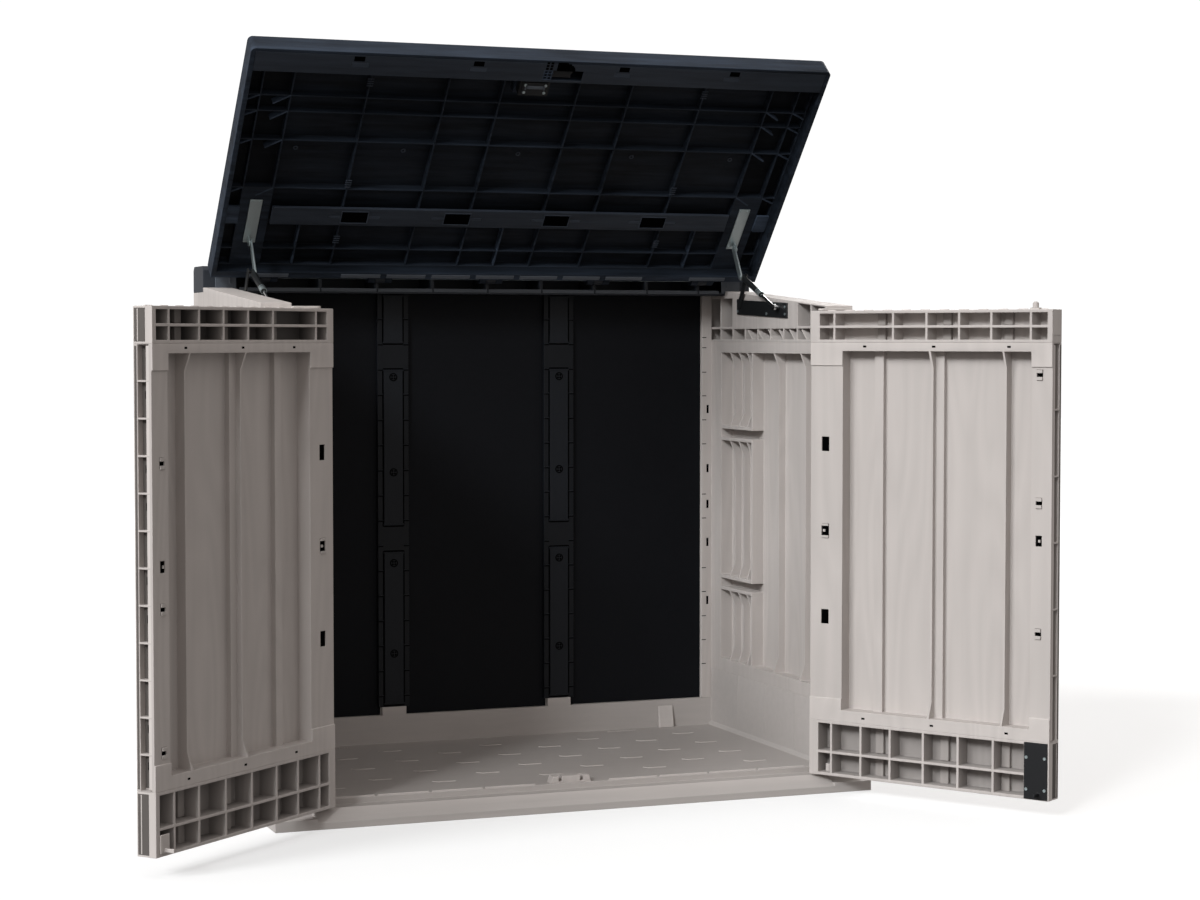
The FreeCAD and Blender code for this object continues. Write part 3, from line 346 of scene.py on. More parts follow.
# Painted shade: a darker copy of the taupe for the shaded inner sides of the board lines in the band cells.
BOARD_LINE_PAINTED_SHADE = Finish(
    "taupe board line painted shade", (0.300, 0.274, 0.260), Grain.BOARD,
    roughness=0.6, swing=0.08, shade=0.05, relief=0.0004, specular=0.2)
# Painted shade: a dark copy of the taupe for the floor of the doors' edge channels and the band ends.
CHANNEL_PAINTED_SHADE = Finish(
    "channel painted shade resin", (0.110, 0.099, 0.092), Grain.BOARD,
    roughness=0.7, swing=0.06, shade=0.1, relief=0.0004, specular=0.1)
FLOOR_GREY = Finish(
    "taupe floor resin", (0.43, 0.398, 0.38), Grain.SHEET,
    roughness=0.55, swing=0.08, shade=0.04, relief=0.0004, edge=0.2, specular=0.3)
# The lid's large edge share is mostly a painted highlight on its rib edges; its hollow share is painted
# shade in the cells.
ANTHRACITE = Finish(
    "anthracite lid resin", (0.0155, 0.0212, 0.0312), Grain.SHEET,
    roughness=0.58, swing=0.08, shade=0.62, relief=0.0008, edge=1.3, hollow=0.5, specular=0.14)
STRIP_GREY = Finish(
    "anthracite strip resin", (0.0235, 0.0295, 0.0400), Grain.SHEET,
    roughness=0.44, swing=0.07, shade=0.25, relief=0.0004, edge=0.5, specular=0.2)
# Painted shade: near-black skins for the deep bays of the lid's side frames.
BAY_PAINTED_SHADE = Finish(
    "anthracite bay painted shade", (0.0036, 0.0047, 0.0066), Grain.SHEET,
    roughness=0.6, swing=0.08, shade=0.5, relief=0.0006, specular=0.1)
HEADER_DARK = Finish(
    "anthracite rail resin", (0.022, 0.026, 0.033), Grain.SHEET,
    roughness=0.46, swing=0.07, shade=0.2, relief=0.0004, edge=0.5, specular=0.3)
RAIL_GREY = Finish(
    "anthracite clip resin", (0.050, 0.058, 0.070), Grain.SHEET,
    roughness=0.4, swing=0.07, shade=0.15, relief=0.0003, edge=0.5, specular=0.4)
BACK_BLACK = Finish(
    "black back resin", (0.0042, 0.0047, 0.0061), Grain.PEBBLE,
    roughness=0.55, swing=0.06, shade=0.12, relief=0.0003, edge=0.3, specular=0.1)
STILE_BLACK = Finish(
    "black stile resin", (0.0056, 0.0067, 0.0088), Grain.PEBBLE,
    roughness=0.45, swing=0.06, shade=0.12, relief=0.0003, edge=0.5, specular=0.2)
FITTING_BLACK = Finish(
    "black fitting resin", (0.010, 0.0105, 0.012), Grain.PEBBLE,
    roughness=0.42, swing=0.08, shade=0.15, relief=0.0003, edge=0.25, specular=0.3)
# Painted shade for hollows, slots, pockets and notches; also the dark colour of the back stile seams, ticks
# and cross marks.
SHADE_AND_JOINT_BLACK = Finish(
    "painted hollow shade and joint black", (0.0012, 0.0012, 0.0013), Grain.PEBBLE,
    roughness=0.8, swing=0.06, shade=0.2, relief=0.0002, specular=0.0)
ZINC = Finish(
    "zinc plated steel", (0.47, 0.545, 0.56), Grain.BRUSHED,
    roughness=0.36, swing=0.1, shade=0.12, relief=0.0001, metallic=0.85)
BRIGHT = Finish(
    "bright piston steel", (0.72, 0.73, 0.74), Grain.BRUSHED,
    roughness=0.16, swing=0.05, shade=0.05, relief=0.00005, metallic=1.0)
BLACK_STEEL = Finish(
    "black painted steel", (0.014, 0.015, 0.016), Grain.PEBBLE,
    roughness=0.36, swing=0.08, shade=0.2, relief=0.0002, metallic=0.2, edge=0.3)

SLOT_FINISH = {
    "resin_taupe": TAUPE,
    "resin_floor": FLOOR_GREY,
    "resin_lid": ANTHRACITE,
    "resin_dark": HEADER_DARK,
    "resin_back": BACK_BLACK,
    "resin_black": FITTING_BLACK,
    "steel_zinc": ZINC,
    "steel_bright": BRIGHT,
    "steel_black": BLACK_STEEL,
}
# Bands and band cells take finishes with painted shade in their inner corners; the strips and stiles take
# their own colours.
NODE_FINISH = {
    "lid_front_strip": STRIP_GREY,
    "lid_cross_beam": STRIP_GREY,
    "back_stile_left": STILE_BLACK,
    "back_stile_right": STILE_BLACK,
    "side_band_left": BAND_TAUPE_PAINTED_SHADE,
    "side_band_right": BAND_TAUPE_PAINTED_SHADE,
    "door_left_top_band": CELL_TAUPE_DEEP_PAINTED_SHADE,
    "door_left_bottom_band": BAND_TAUPE_PAINTED_SHADE,
    "door_right_bottom_band": BAND_TAUPE_PAINTED_SHADE,
}


def finish_piece(
    name: str, mesh: bmesh.types.BMesh, finish: Finish, body: str
) -> bpy.types.Object:
    """Turn a bmesh into a finished object that rides on a body.

    Args:
        name: Name of the piece.
        mesh: Geometry, in the row frame.
        finish: Surface finish.
        body: Body it moves with.

    Returns:
        The new object.
    """
    data = bpy.data.meshes.new(name)
    mesh.to_mesh(data)
    mesh.free()
    data.shade_smooth()
    data.set_sharp_from_angle(angle=SOFT_ANGLE)
    piece = bpy.data.objects.new(name, data)
    bpy.context.scene.collection.objects.link(piece)
    data.materials.append(finish.material())
    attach(piece, body)
    log.info("piece %s: %d faces", name, len(data.polygons))
    return piece


def body_of(node: str) -> str:
    """Body that a CAD node belongs to."""
    groups = frame["record"]["behaviour"]["bodies"]
    return next(body for body, members in groups.items() if node in members)


def slot_of(node: str) -> str:
    """Material slot that the record gives a CAD node."""
    return next(part["material_slot"] for part in frame["record"]["subparts"] if part["node"] == node)


@dataclass
class EasedMouldings:
    """Mouldings and fittings with their edges eased as a mould or a press leaves them.

    Attributes:
        radius: Edge radius of mouldings and plates.
        fine_radius: Edge radius of slim round pieces.
        fine: Words in the names of slim round pieces.
        skip: Words in the names of nodes that keep their CAD mesh.
        merge: Distance within which the corners of neighbouring triangles are one.
        flat: Angle below which two faces are one, in degrees.
        square: How far two triangles may be from a square and still join, in degrees.
        sharp: Angle above which an edge is eased, in degrees.
        steps: Facets across an eased edge.
    """

    radius: float = 1.1 * MM
    fine_radius: float = 0.35 * MM
    fine: tuple[str, ...] = ("pin", "rod", "cylinder")
    skip: tuple[str, ...] = ("screws",)
    merge: float = 0.01 * MM
    flat: float = 0.6
    square: float = 60.0
    sharp: float = 35.0
    steps: int = 2

    def build(self) -> None:
        """Stand a soft-edged copy in for each node, and dress the small screws as they are."""
        for node, source in frame["nodes"].items():
            finish = NODE_FINISH.get(node, SLOT_FINISH[slot_of(node)])
            if any(word in node for word in self.skip):
                self.dress(source, finish)
                continue
            self.ease(node, source, finish)

    def dress(self, source: bpy.types.Object, finish: Finish) -> None:
        """Give a CAD node its finish."""
        source.data.materials.clear()
        source.data.materials.append(finish.material())

    def ease(self, node: str, source: bpy.types.Object, finish: Finish) -> None:
        """Stand a soft-edged copy in for one node.

        Args:
            node: Name of the CAD node.
            source: Its object.
            finish: Surface finish.
        """
        flat, sharp = math.radians(self.flat), math.radians(self.sharp)
        mesh = bmesh.new()
        mesh.from_mesh(source.data)
        bmesh.ops.remove_doubles(mesh, verts=mesh.verts, dist=self.merge)
        bmesh.ops.dissolve_limit(
            mesh, angle_limit=flat, verts=mesh.verts, edges=mesh.edges, delimit={"NORMAL"})
        # Faces with openings are split into plain quads, so that no eased edge crosses a face
        wide = [face for face in mesh.faces if len(face.verts) > 4]
        bmesh.ops.triangulate(mesh, faces=wide, quad_method="BEAUTY", ngon_method="BEAUTY")
        bmesh.ops.join_triangles(
            mesh, faces=mesh.faces, angle_face_threshold=flat,
            angle_shape_threshold=math.radians(self.square))
        edges = [edge for edge in mesh.edges if edge.is_manifold and edge.calc_face_angle() > sharp]
        radius = self.fine_radius if any(word in node for word in self.fine) else self.radius
        bmesh.ops.bevel(
            mesh, geom=edges, offset=radius, segments=self.steps, profile=0.5, affect="EDGES", material=-1,
            clamp_overlap=False)
        piece = finish_piece(f"{node}_moulded", mesh, finish, body_of(node))
        level = piece.modifiers.new("flat faces", "WEIGHTED_NORMAL")
        level.keep_sharp = True
        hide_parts(node)


def add_bar(
    mesh: bmesh.types.BMesh,
    centre: Triple,
    size: Triple,
    place: Matrix = AT_ORIGIN,
    slant: float = 0.0,
    ease: float = BAR_EASE,
) -> None:
    """Add one moulded bar with eased edges, sizes in millimetres.

    Args:
        mesh: Geometry to add to.
        centre: Middle of the bar.
        size: Lengths along its own x, y and z.
        place: Where its sub-assembly rests.
        slant: Turn about the upright through its middle, in degrees.
        ease: Edge radius, kept below a share of the thinnest side.
    """
    made = bmesh.ops.create_cube(mesh, size=1.0)["verts"]
    shape = Matrix.Diagonal((*(Vector(size) * MM), 1.0))
    turn = Matrix.Rotation(math.radians(slant), 4, "Z")
    shift = Matrix.Translation(Vector(centre) * MM)
    bmesh.ops.transform(mesh, matrix=place @ shift @ turn @ shape, verts=made)
    edges = list(dict.fromkeys(edge for vertex in made for edge in vertex.link_edges))
    radius = min(ease, min(size) * EASE_SHARE) * MM
    bmesh.ops.bevel(
        mesh, geom=edges, offset=radius, segments=1, profile=0.5, affect="EDGES", material=-1)


def add_ring(
    mesh: bmesh.types.BMesh,
    centre: Triple,
    inner: float,
    outer: float,
    height: float,
    place: Matrix,
    steps: int,
) -> None:
    """Spin a small square section into a ring about its own z, sizes in millimetres.

    Args:
        mesh: Geometry to add to.
        centre: Middle of the ring's foot.
        inner: Inner radius.
        outer: Outer radius.
        height: Height along z, downwards where negative.
        place: Where its sub-assembly rests.
        steps: Facets round the ring.
    """
    seam = 0.001 * MM
    middle = Vector(centre) * MM
    corners = [(inner, 0.0), (outer, 0.0), (outer, height), (inner, height)]
    section = [mesh.verts.new(middle + Vector((radius, 0.0, up)) * MM) for radius, up in corners]
    edges = [mesh.edges.new((section[i - 1], section[i])) for i in range(len(section))]
    known = set(mesh.verts) - set(section)
    bmesh.ops.spin(
        mesh, geom=section + edges, cent=middle, axis=(0.0, 0.0, 1.0), angle=math.tau, steps=steps,
        use_merge=True)
    made = [vertex for vertex in mesh.verts if vertex not in known]
    bmesh.ops.remove_doubles(mesh, verts=made, dist=seam)
    made = [vertex for vertex in mesh.verts if vertex not in known]
    bmesh.ops.transform(mesh, matrix=place, verts=made)
    faces = list(dict.fromkeys(face for vertex in made for face in vertex.link_faces))
    bmesh.ops.recalc_face_normals(mesh, faces=faces)


@dataclass
class BaseTray:
    """Grip ridges, drain combs, rim gussets and sill lip of the floor, sizes in millimetres.

    Attributes:
        level: Height of the floor.
        rows: Number of rows of ridges.
        row_pitch: Distance between rows of ridges.
        column_pitch: Distance between ridges in a row.
        first_row: Front row of ridges.
        reach: How far from the middle a ridge may lie.
        ridge: Size of a ridge.
        bent_end: Size of its bent end.
        bend: Where the bent end lies beside its ridge, and its slant in degrees.
        ridge_height: Middle of a ridge over the floor.
        comb: First tooth of a drain comb from the middle, and its depth in the box.
        comb_pitch: Distance between teeth.
        comb_teeth: Number of teeth.
        comb_tooth: Size of a tooth.
        comb_height: Middle of a tooth over the floor.
        gusset: Size of a rim gusset.
        gusset_place: Middle of a gusset across the box, its depth, and its height over the floor.
        gusset_cut: Depth and height past which a gusset is cut back, and how far.
        lip: Size of one length of the sill lip.
        lip_place: Middle of the first length across the box, its depth, and its height over the ground.
        lip_pitch: Distance between lengths.
        lip_lengths: Number of lengths on each side.
    """

    level: float = 47.0
    rows: int = 7
    row_pitch: float = 75.5
    column_pitch: float = 265.5
    first_row: float = -190.0
    reach: float = 560.0
    ridge: Triple = (44.0, 5.0, 1.8)
    bent_end: Triple = (16.0, 4.0, 1.8)
    bend: Triple = (-26.5, 5.5, -48.0)
    ridge_height: float = 0.6
    comb: Pair = (354.0, 361.0)
    comb_pitch: float = 7.2
    comb_teeth: int = 11
    comb_tooth: Triple = (3.4, 16.2, 3.6)
    comb_height: float = -2.0
    gusset: Triple = (42.0, 13.0, 58.0)
    gusset_place: Triple = (524.0, 379.0, 28.0)
    gusset_cut: Triple = (378.0, 40.0, 8.0)
    lip: Triple = (122.0, 2.8, 4.4)
    lip_place: Triple = (152.0, -317.6, 50.4)
    lip_pitch: float = 128.0
    lip_lengths: int = 4

    def build(self) -> None:
        """Add the ridges and the fittings of the floor."""
        self.ridges()
        self.drains()
        self.gussets()
        self.sill_lip()

    def dress(self, name: str, mesh: bmesh.types.BMesh) -> None:
        """Finish one piece of the floor."""
        finish_piece(name, mesh, FLOOR_GREY, "carcass")

    def ridges(self) -> None:
        """Staggered rows of thin ridges, each with a short bent end."""
        mesh = bmesh.new()
        z = self.level + self.ridge_height
        across, behind, slant = self.bend
        for row in range(self.rows):
            y = self.first_row + row * self.row_pitch
            shift = self.column_pitch / 2 if row % 2 else 0.0
            for column in range(-2, 3):
                x = column * self.column_pitch + shift
                if abs(x) > self.reach:
                    continue
                add_bar(mesh, (x, y, z), self.ridge)
                add_bar(mesh, (x + across, y + behind, z), self.bent_end, slant=slant)
        self.dress("floor_ridges", mesh)

    def drains(self) -> None:
        """Combs across the two drains."""
        mesh = bmesh.new()
        start, y = self.comb
        for side in SIDES:
            for step in range(self.comb_teeth):
                x = side * (start + step * self.comb_pitch)
                add_bar(mesh, (x, y, self.level + self.comb_height), self.comb_tooth)
        self.dress("floor_drain_combs", mesh)

    def gussets(self) -> None:
        """Wedges that stiffen the rear rim beside the walls."""
        mesh = bmesh.new()
        x, y, up = self.gusset_place
        front, high, back = self.gusset_cut
        for side in SIDES:
            known = set(mesh.verts)
            add_bar(mesh, (side * x, y, self.level + up), self.gusset, ease=2.0)
            made = [vertex for vertex in mesh.verts if vertex not in known]
            toe = [vertex for vertex in made
                   if vertex.co.y < front * MM and vertex.co.z > (self.level + high) * MM]
            bmesh.ops.translate(mesh, verts=toe, vec=(0.0, back * MM, 0.0))
        self.dress("floor_rim_gussets", mesh)

    def sill_lip(self) -> None:
        """Thin lip along the stop ridge of the sill, parted at the clips and free of the strike."""
        mesh = bmesh.new()
        x, y, z = self.lip_place
        for side in SIDES:
            for step in range(self.lip_lengths):
                add_bar(mesh, (side * (x + step * self.lip_pitch), y, z), self.lip, ease=0.9)
        self.dress("sill_lip", mesh)


@dataclass
class SideBand:
    """Slanted webs in the lower cells of one side band, sizes in millimetres.

    Attributes:
        name: Side of the box.
        side: -1 on the left, 1 on the right.
        level: Middle height of the cells.
        middle: Middle of the band across the box.
        lean: Backward lean of a web, in degrees.
        web: Size of a web.
        cells: Middles of the cells, from front to back.
    """

    name: str
    side: int
    level: float = 1089.0
    middle: float = 690.0
    lean: float = 50.0
    web: Triple = (63.0, 3.4, 40.0)
    cells: tuple[float, ...] = (-256.0, -178.0, -108.0, -45.0, 18.0, 81.0, 143.0)

    def build(self) -> None:
        """Add one web to each cell."""
        mesh = bmesh.new()
        for y in self.cells:
            place = Matrix.Translation(Vector((self.side * self.middle, y, self.level)) * MM)
            place @= Matrix.Rotation(math.radians(-self.lean), 4, "X")
            add_bar(mesh, (0.0, 0.0, 0.0), self.web, place, ease=0.8)
        finish_piece(f"side_band_{self.name}_webs", mesh, CLIP_TAUPE, "carcass")


@dataclass
class BackWall:
    """Fittings of the two back stiles and ticks of the corner posts, sizes in millimetres.

    Attributes:
        stile: Middle of a stile.
        face: Front face of a stile.
        runs: Lowest and highest points of each cover.
        cover: Width and thickness of a cover.
        cover_proud: Middle of a cover in front of the face.
        end_lip: Size of the lip at each end of a cover.
        end_inset: Middle of such a lip from the end.
        end_proud: Middle of such a lip in front of the face.
        tooth: Size of a clip tooth.
        tooth_line: Middle of the teeth from the middle of a stile.
        tooth_proud: Middle of the teeth in front of the face.
        tooth_seam: Size of the seam under a tooth.
        seam_line: Middle of the seam under a tooth, from the middle of a stile and from the tooth.
        first_tooth: Height of the lowest tooth.
        pitch: Distance between teeth.
        teeth_up: Number of teeth in a line.
        long_seam: Width of the seams along a cover, their distance from its middle, and their spare length.
        end_seam: Length and height of the seams past a cover's ends, and their distance from the ends.
        seam_depth: Thickness of every seam, and its middle in front of the stile.
        crosses: Heights of the screw crosses.
        cross_ring: Inner radius, outer radius and height of the ring round a cross.
        quarter: Size of a dark quarter.
        quarter_place: Middle of a quarter from the middle of its cross, and over the boss.
        boss: Face of a screw boss in front of the stile.
        ticks_up: Heights of the joint ticks on the corner posts.
        tick: Size of a tick.
        tick_place: Middle of the ticks from the middle of the box, and their depth.
        slots: Heights of the clip slots in the corner posts.
        slot: Size of the painted shade in a slot's hollow.
        slot_place: As for the ticks.
    """

    stile: float = 223.9
    face: float = 387.0
    runs: tuple[Pair, ...] = ((146.0, 537.0), (604.0, 1001.0), (1067.0, 1190.0))
    cover: Pair = (50.0, 2.6)
    cover_proud: float = 1.0
    end_lip: Triple = (54.0, 3.4, 4.0)
    end_inset: float = 2.5
    end_proud: float = 1.6
    tooth: Triple = (13.0, 2.4, 2.6)
    tooth_line: float = 33.5
    tooth_proud: float = 0.8
    tooth_seam: Triple = (13.0, 1.4, 2.4)
    seam_line: Pair = (34.0, -2.6)
    first_tooth: float = 170.0
    pitch: float = 64.0
    teeth_up: int = 16
    long_seam: Triple = (3.2, 26.8, 4.0)
    end_seam: Triple = (52.0, 3.0, 1.8)
    seam_depth: Pair = (1.4, 0.4)
    crosses: tuple[float, ...] = (276.76, 508.2, 739.64, 981.6)
    cross_ring: Triple = (8.0, 10.4, 1.2)
    quarter: Triple = (4.4, 4.4, 0.8)
    quarter_place: Pair = (4.8, 0.9)
    boss: float = 2.2
    ticks_up: tuple[float, ...] = (
        211.0, 275.0, 339.0, 404.0, 468.0, 601.0, 665.0, 799.0, 863.0, 927.0, 990.0, 1055.0, 1082.0)
    tick: Triple = (12.0, 0.8, 2.0)
    tick_place: Pair = (635.4, 384.9)
    slots: tuple[float, ...] = (380.8, 536.4, 638.3, 733.8, 891.6)
    slot: Triple = (5.8, 1.2, 21.6)
    slot_place: Pair = (646.0, 386.4)

    @property
    def tooth_heights(self) -> list[float]:
        """Heights of the teeth in one line."""
        return [self.first_tooth + step * self.pitch for step in range(self.teeth_up)]

    def build(self) -> None:
        """Add the covers, teeth, seams, crosses and ticks."""
        self.covers()
        self.teeth()
        self.seams()
        self.cross_marks()
        self.ticks()

    def dress(self, name: str, mesh: bmesh.types.BMesh, finish: Finish) -> None:
        """Finish one piece of the back wall."""
        finish_piece(name, mesh, finish, "carcass")

    def covers(self) -> None:
        """Raised cover strips with a small lip at each end."""
        mesh = bmesh.new()
        width, thickness = self.cover
        for side in SIDES:
            x = side * self.stile
            for low, high in self.runs:
                centre = (x, self.face - self.cover_proud, (low + high) / 2)
                add_bar(mesh, centre, (width, thickness, high - low), ease=0.8)
                for z in (low + self.end_inset, high - self.end_inset):
                    add_bar(mesh, (x, self.face - self.end_proud, z), self.end_lip)
        self.dress("back_stile_covers", mesh, STILE_BLACK)

    def teeth(self) -> None:
        """Clip teeth on the ledges beside the covers."""
        mesh = bmesh.new()
        for side in SIDES:
            for edge in SIDES:
                x = side * self.stile + edge * self.tooth_line
                for z in self.tooth_heights:
                    add_bar(mesh, (x, self.face - self.tooth_proud, z), self.tooth)
        self.dress("back_stile_teeth", mesh, STILE_BLACK)

    def seams(self) -> None:
        """Dark seams round the covers and under the clip teeth."""
        mesh = bmesh.new()
        thickness, proud = self.seam_depth
        y = self.face - proud
        width, beside, spare = self.long_seam
        length, height, past = self.end_seam
        across, under = self.seam_line
        for side in SIDES:
            x = side * self.stile
            for low, high in self.runs:
                for edge in SIDES:
                    centre = (x + edge * beside, y, (low + high) / 2)
                    add_bar(mesh, centre, (width, thickness, high - low + spare))
                for z in (low - past, high + past):
                    add_bar(mesh, (x, y, z), (length, thickness, height))
            for edge in SIDES:
                for z in self.tooth_heights:
                    add_bar(mesh, (x + edge * across, y, z + under), self.tooth_seam)
        self.dress("back_stile_seams", mesh, SHADE_AND_JOINT_BLACK)

    def cross_marks(self) -> None:
        """A dark ring and four dark quarters on each screw boss."""
        mesh = bmesh.new()
        inner, outer, height = self.cross_ring
        away, up = self.quarter_place
        for side in SIDES:
            for z in self.crosses:
                upright = Matrix.Translation(Vector((side * self.stile, self.face - self.boss, z)) * MM)
                upright @= Matrix.Rotation(math.radians(90.0), 4, "X")
                add_ring(mesh, (0.0, 0.0, 0.0), inner, outer, height, upright, 24)
                for quarter in range(4):
                    turn = upright @ Matrix.Rotation(math.radians(45.0 + 90.0 * quarter), 4, "Z")
                    add_bar(mesh, (away, 0.0, up), self.quarter, turn, ease=0.2)
        self.dress("back_stile_crosses", mesh, SHADE_AND_JOINT_BLACK)

    def ticks(self) -> None:
        """Dark joint ticks on each rear corner post, and painted shade in the hollows of its clip slots."""
        mesh = bmesh.new()
        marks = (
            (self.ticks_up, self.tick, self.tick_place),
            (self.slots, self.slot, self.slot_place),
        )
        for side in SIDES:
            for heights, size, (x, y) in marks:
                for z in heights:
                    add_bar(mesh, (side * x, y, z), size, ease=0.2)
        self.dress("corner_post_ticks_and_slot_shade", mesh, SHADE_AND_JOINT_BLACK)


@dataclass
class HingeRail:
    """Segmented lip and end covers along the rear hinge rail, sizes in millimetres.

    Attributes:
        face: Front face of the rail.
        low: Height of the lower lip.
        joints: Places where the lip is parted.
        gap: Width of a parting.
        lip: Depth and height of the lip.
        lip_proud: Middle of the lip in front of the face.
        cover: Size of an end cover.
        cover_place: Middle of a cover across the box, in front of the face, and its height.
        key: Size of the upright key on a cover.
        key_place: As for the cover.
    """

    face: float = 300.0
    low: float = 1200.0
    joints: tuple[float, ...] = (
        -640.0, -580.0, -435.0, -290.0, -145.0, 0.0, 145.0, 290.0, 435.0, 580.0, 640.0)
    gap: float = 3.0
    lip: Pair = (4.6, 9.0)
    lip_proud: float = 1.8
    cover: Triple = (52.0, 3.8, 50.0)
    cover_place: Triple = (672.0, 1.4, 1222.0)
    key: Triple = (5.0, 3.0, 26.0)
    key_place: Triple = (662.0, 3.6, 1226.0)

    def build(self) -> None:
        """Add the lip in lengths between the joints, and a cover with a key at each end."""
        mesh = bmesh.new()
        for start, end in zip(self.joints, self.joints[1:]):
            size = (end - start - self.gap, *self.lip)
            add_bar(mesh, ((start + end) / 2, self.face - self.lip_proud, self.low), size, ease=1.6)
        for side in SIDES:
            x, proud, z = self.cover_place
            add_bar(mesh, (side * x, self.face - proud, z), self.cover, ease=1.6)
            x, proud, z = self.key_place
            add_bar(mesh, (side * x, self.face - proud, z), self.key, ease=0.8)
        finish_piece("rail_lip", mesh, RAIL_GREY, "carcass")


@dataclass
class LidDetail:
    """What the details of the lid share, sizes in millimetres from the hinge line.

    Attributes:
        axis: Hinge line of the lid, as y and z.
        raised: Angle of the lid at rest, in degrees.
        roof: Underside of the skin, over the hinge line.
        beam_row: Middle of the cross beam.
        plate_height: Height of the dark plates on the underside of the front strip.
    """

    axis: Pair = (280.5, 1231.7)
    raised: float = 48.25
    roof: float = 20.0
    beam_row: float = -193.7
    plate_height: float = -28.1

    @property
    def place(self) -> Matrix:
        """Where the raised lid rests."""
        hinge = Matrix.Translation(Vector((0.0, *self.axis)) * MM)
        return hinge @ Matrix.Rotation(math.radians(-self.raised), 4, "X")

    def bar(
        self,
        mesh: bmesh.types.BMesh,
        centre: Triple,
        size: Triple,
        slant: float = 0.0,
        ease: float = BAR_EASE,
    ) -> None:
        """Add one bar in the frame of the lid."""
        add_bar(mesh, centre, size, self.place, slant, ease)

    def dress(self, name: str, mesh: bmesh.types.BMesh, finish: Finish, slot: str = "resin_lid") -> None:
        """Finish one piece of the lid."""
        finish_piece(name, mesh, finish, "lid")


@dataclass
class LidRibs(LidDetail):
    """Webs, ribs, bay skins of painted shade, rings and clips under the lid's skin.

    Attributes:
        rib_foot: Lower edge of the ribs.
        rib: Thickness of the ribs.
        sink: How far the ribs reach into the skin and past their foot, together.
        rows: Places of the cross ribs.
        webs: Line, place behind the cross rib, length and slant of the webs at each cross rib.
        short_lines: Lines of the short ribs.
        short_rib: Middle and length of a short rib, from front to back.
        beam_end: Size of an outer end of the cross beam.
        beam_end_place: Line and height of its middle.
        bays: Line and width of the painted shade skin in each side bay.
        bay: Middle, length and thickness of these skins.
        ring_lines: Lines of the moulded rings.
        ring_row: Place of the rings.
        ring: Inner radius, outer radius and height of a ring.
        ring_sink: How far the rings sink into the skin.
        ladder_line: Line of the clip ladders.
        ladder_rows: Places of the ladders.
        rungs: Number of clips in a ladder.
        rung_pitch: Distance between clips.
        rung: Size of a clip.
        rung_drop: Middle of a clip under the rib's foot.
    """

    rib_foot: float = 2.0
    rib: float = 4.0
    sink: float = 0.6
    rows: tuple[float, ...] = (-542.0, -497.2, -414.3, -272.6)
    webs: tuple[tuple[float, float, float, float], ...] = (
        (620.0, 12.0, 46.0, 32.0), (690.0, 9.0, 38.0, 26.0))
    short_lines: Triple = (-518.0, 0.0, 518.0)
    short_rib: Pair = (-103.0, 128.0)
    beam_end: Triple = (34.0, 51.0, 8.2)
    beam_end_place: Pair = (690.0, -1.8)
    bays: tuple[Pair, ...] = ((636.0, 66.0), (690.0, 30.0))
    bay: Triple = (-335.0, 580.0, 1.6)
    ring_lines: tuple[float, ...] = (-560.0, -297.0, -7.0, 290.0, 556.0)
    ring_row: float = -380.0
    ring: Triple = (3.0, 6.0, -1.6)
    ring_sink: float = 0.2
    ladder_line: float = 420.0
    ladder_rows: Triple = (-598.0, -300.0, -128.0)
    rungs: int = 4
    rung_pitch: float = 6.5
    rung: Triple = (15.0, 2.4, 2.4)
    rung_drop: float = 0.8

    @property
    def rib_middle(self) -> float:
        """Middle height of the ribs."""
        return (self.roof + self.rib_foot) / 2

    @property
    def rib_height(self) -> float:
        """Height of the ribs, with a little that sinks into the skin."""
        return self.roof - self.rib_foot + self.sink

    def build(self) -> None:
        """Add everything between the beams."""
        self.braces()
        self.short_ribs()
        self.side_bays()
        self.rings()
        self.ladders()

    def braces(self) -> None:
        """Slanted webs where the cross ribs meet the side frames."""
        mesh = bmesh.new()
        for side in SIDES:
            for y in self.rows:
                for x, behind, length, slant in self.webs:
                    centre = (side * x, y + behind, self.rib_middle)
                    self.bar(mesh, centre, (length, self.rib, self.rib_height), side * slant)
        self.dress("lid_braces", mesh, ANTHRACITE)

    def short_ribs(self) -> None:
        """Short ribs between the cross beam and the hinge beam, and the outer ends of the cross beam."""
        mesh = bmesh.new()
        y, length = self.short_rib
        for x in self.short_lines:
            self.bar(mesh, (x, y, self.rib_middle), (self.rib, length, self.rib_height))
        x, z = self.beam_end_place
        for side in SIDES:
            self.bar(mesh, (side * x, self.beam_row, z), self.beam_end, ease=0.8)
        self.dress("lid_short_ribs", mesh, ANTHRACITE)

    def side_bays(self) -> None:
        """Painted shade: very dark skins laid in the bays along both side frames."""
        mesh = bmesh.new()
        y, length, thickness = self.bay
        for side in SIDES:
            for x, width in self.bays:
                self.bar(mesh, (side * x, y, self.roof), (width, length, thickness))
        self.dress("lid_side_bay_painted_shade", mesh, BAY_PAINTED_SHADE)

    def rings(self) -> None:
        """Small moulded rings on the skin between the ribs."""
        mesh = bmesh.new()
        inner, outer, height = self.ring
        for x in self.ring_lines:
            foot = (x, self.ring_row, self.roof + self.ring_sink)
            add_ring(mesh, foot, inner, outer, height, self.place, 18)
        self.dress("lid_rings", mesh, STRIP_GREY)

    def ladders(self) -> None:
        """Small ladders of clips across the feet of two long ribs."""
        mesh = bmesh.new()
        z = self.rib_foot - self.rung_drop
        for side in SIDES:
            for y in self.ladder_rows:
                for step in range(self.rungs):
                    self.bar(mesh, (side * self.ladder_line, y + step * self.rung_pitch, z), self.rung)
        self.dress("lid_clip_ladders", mesh, STRIP_GREY)


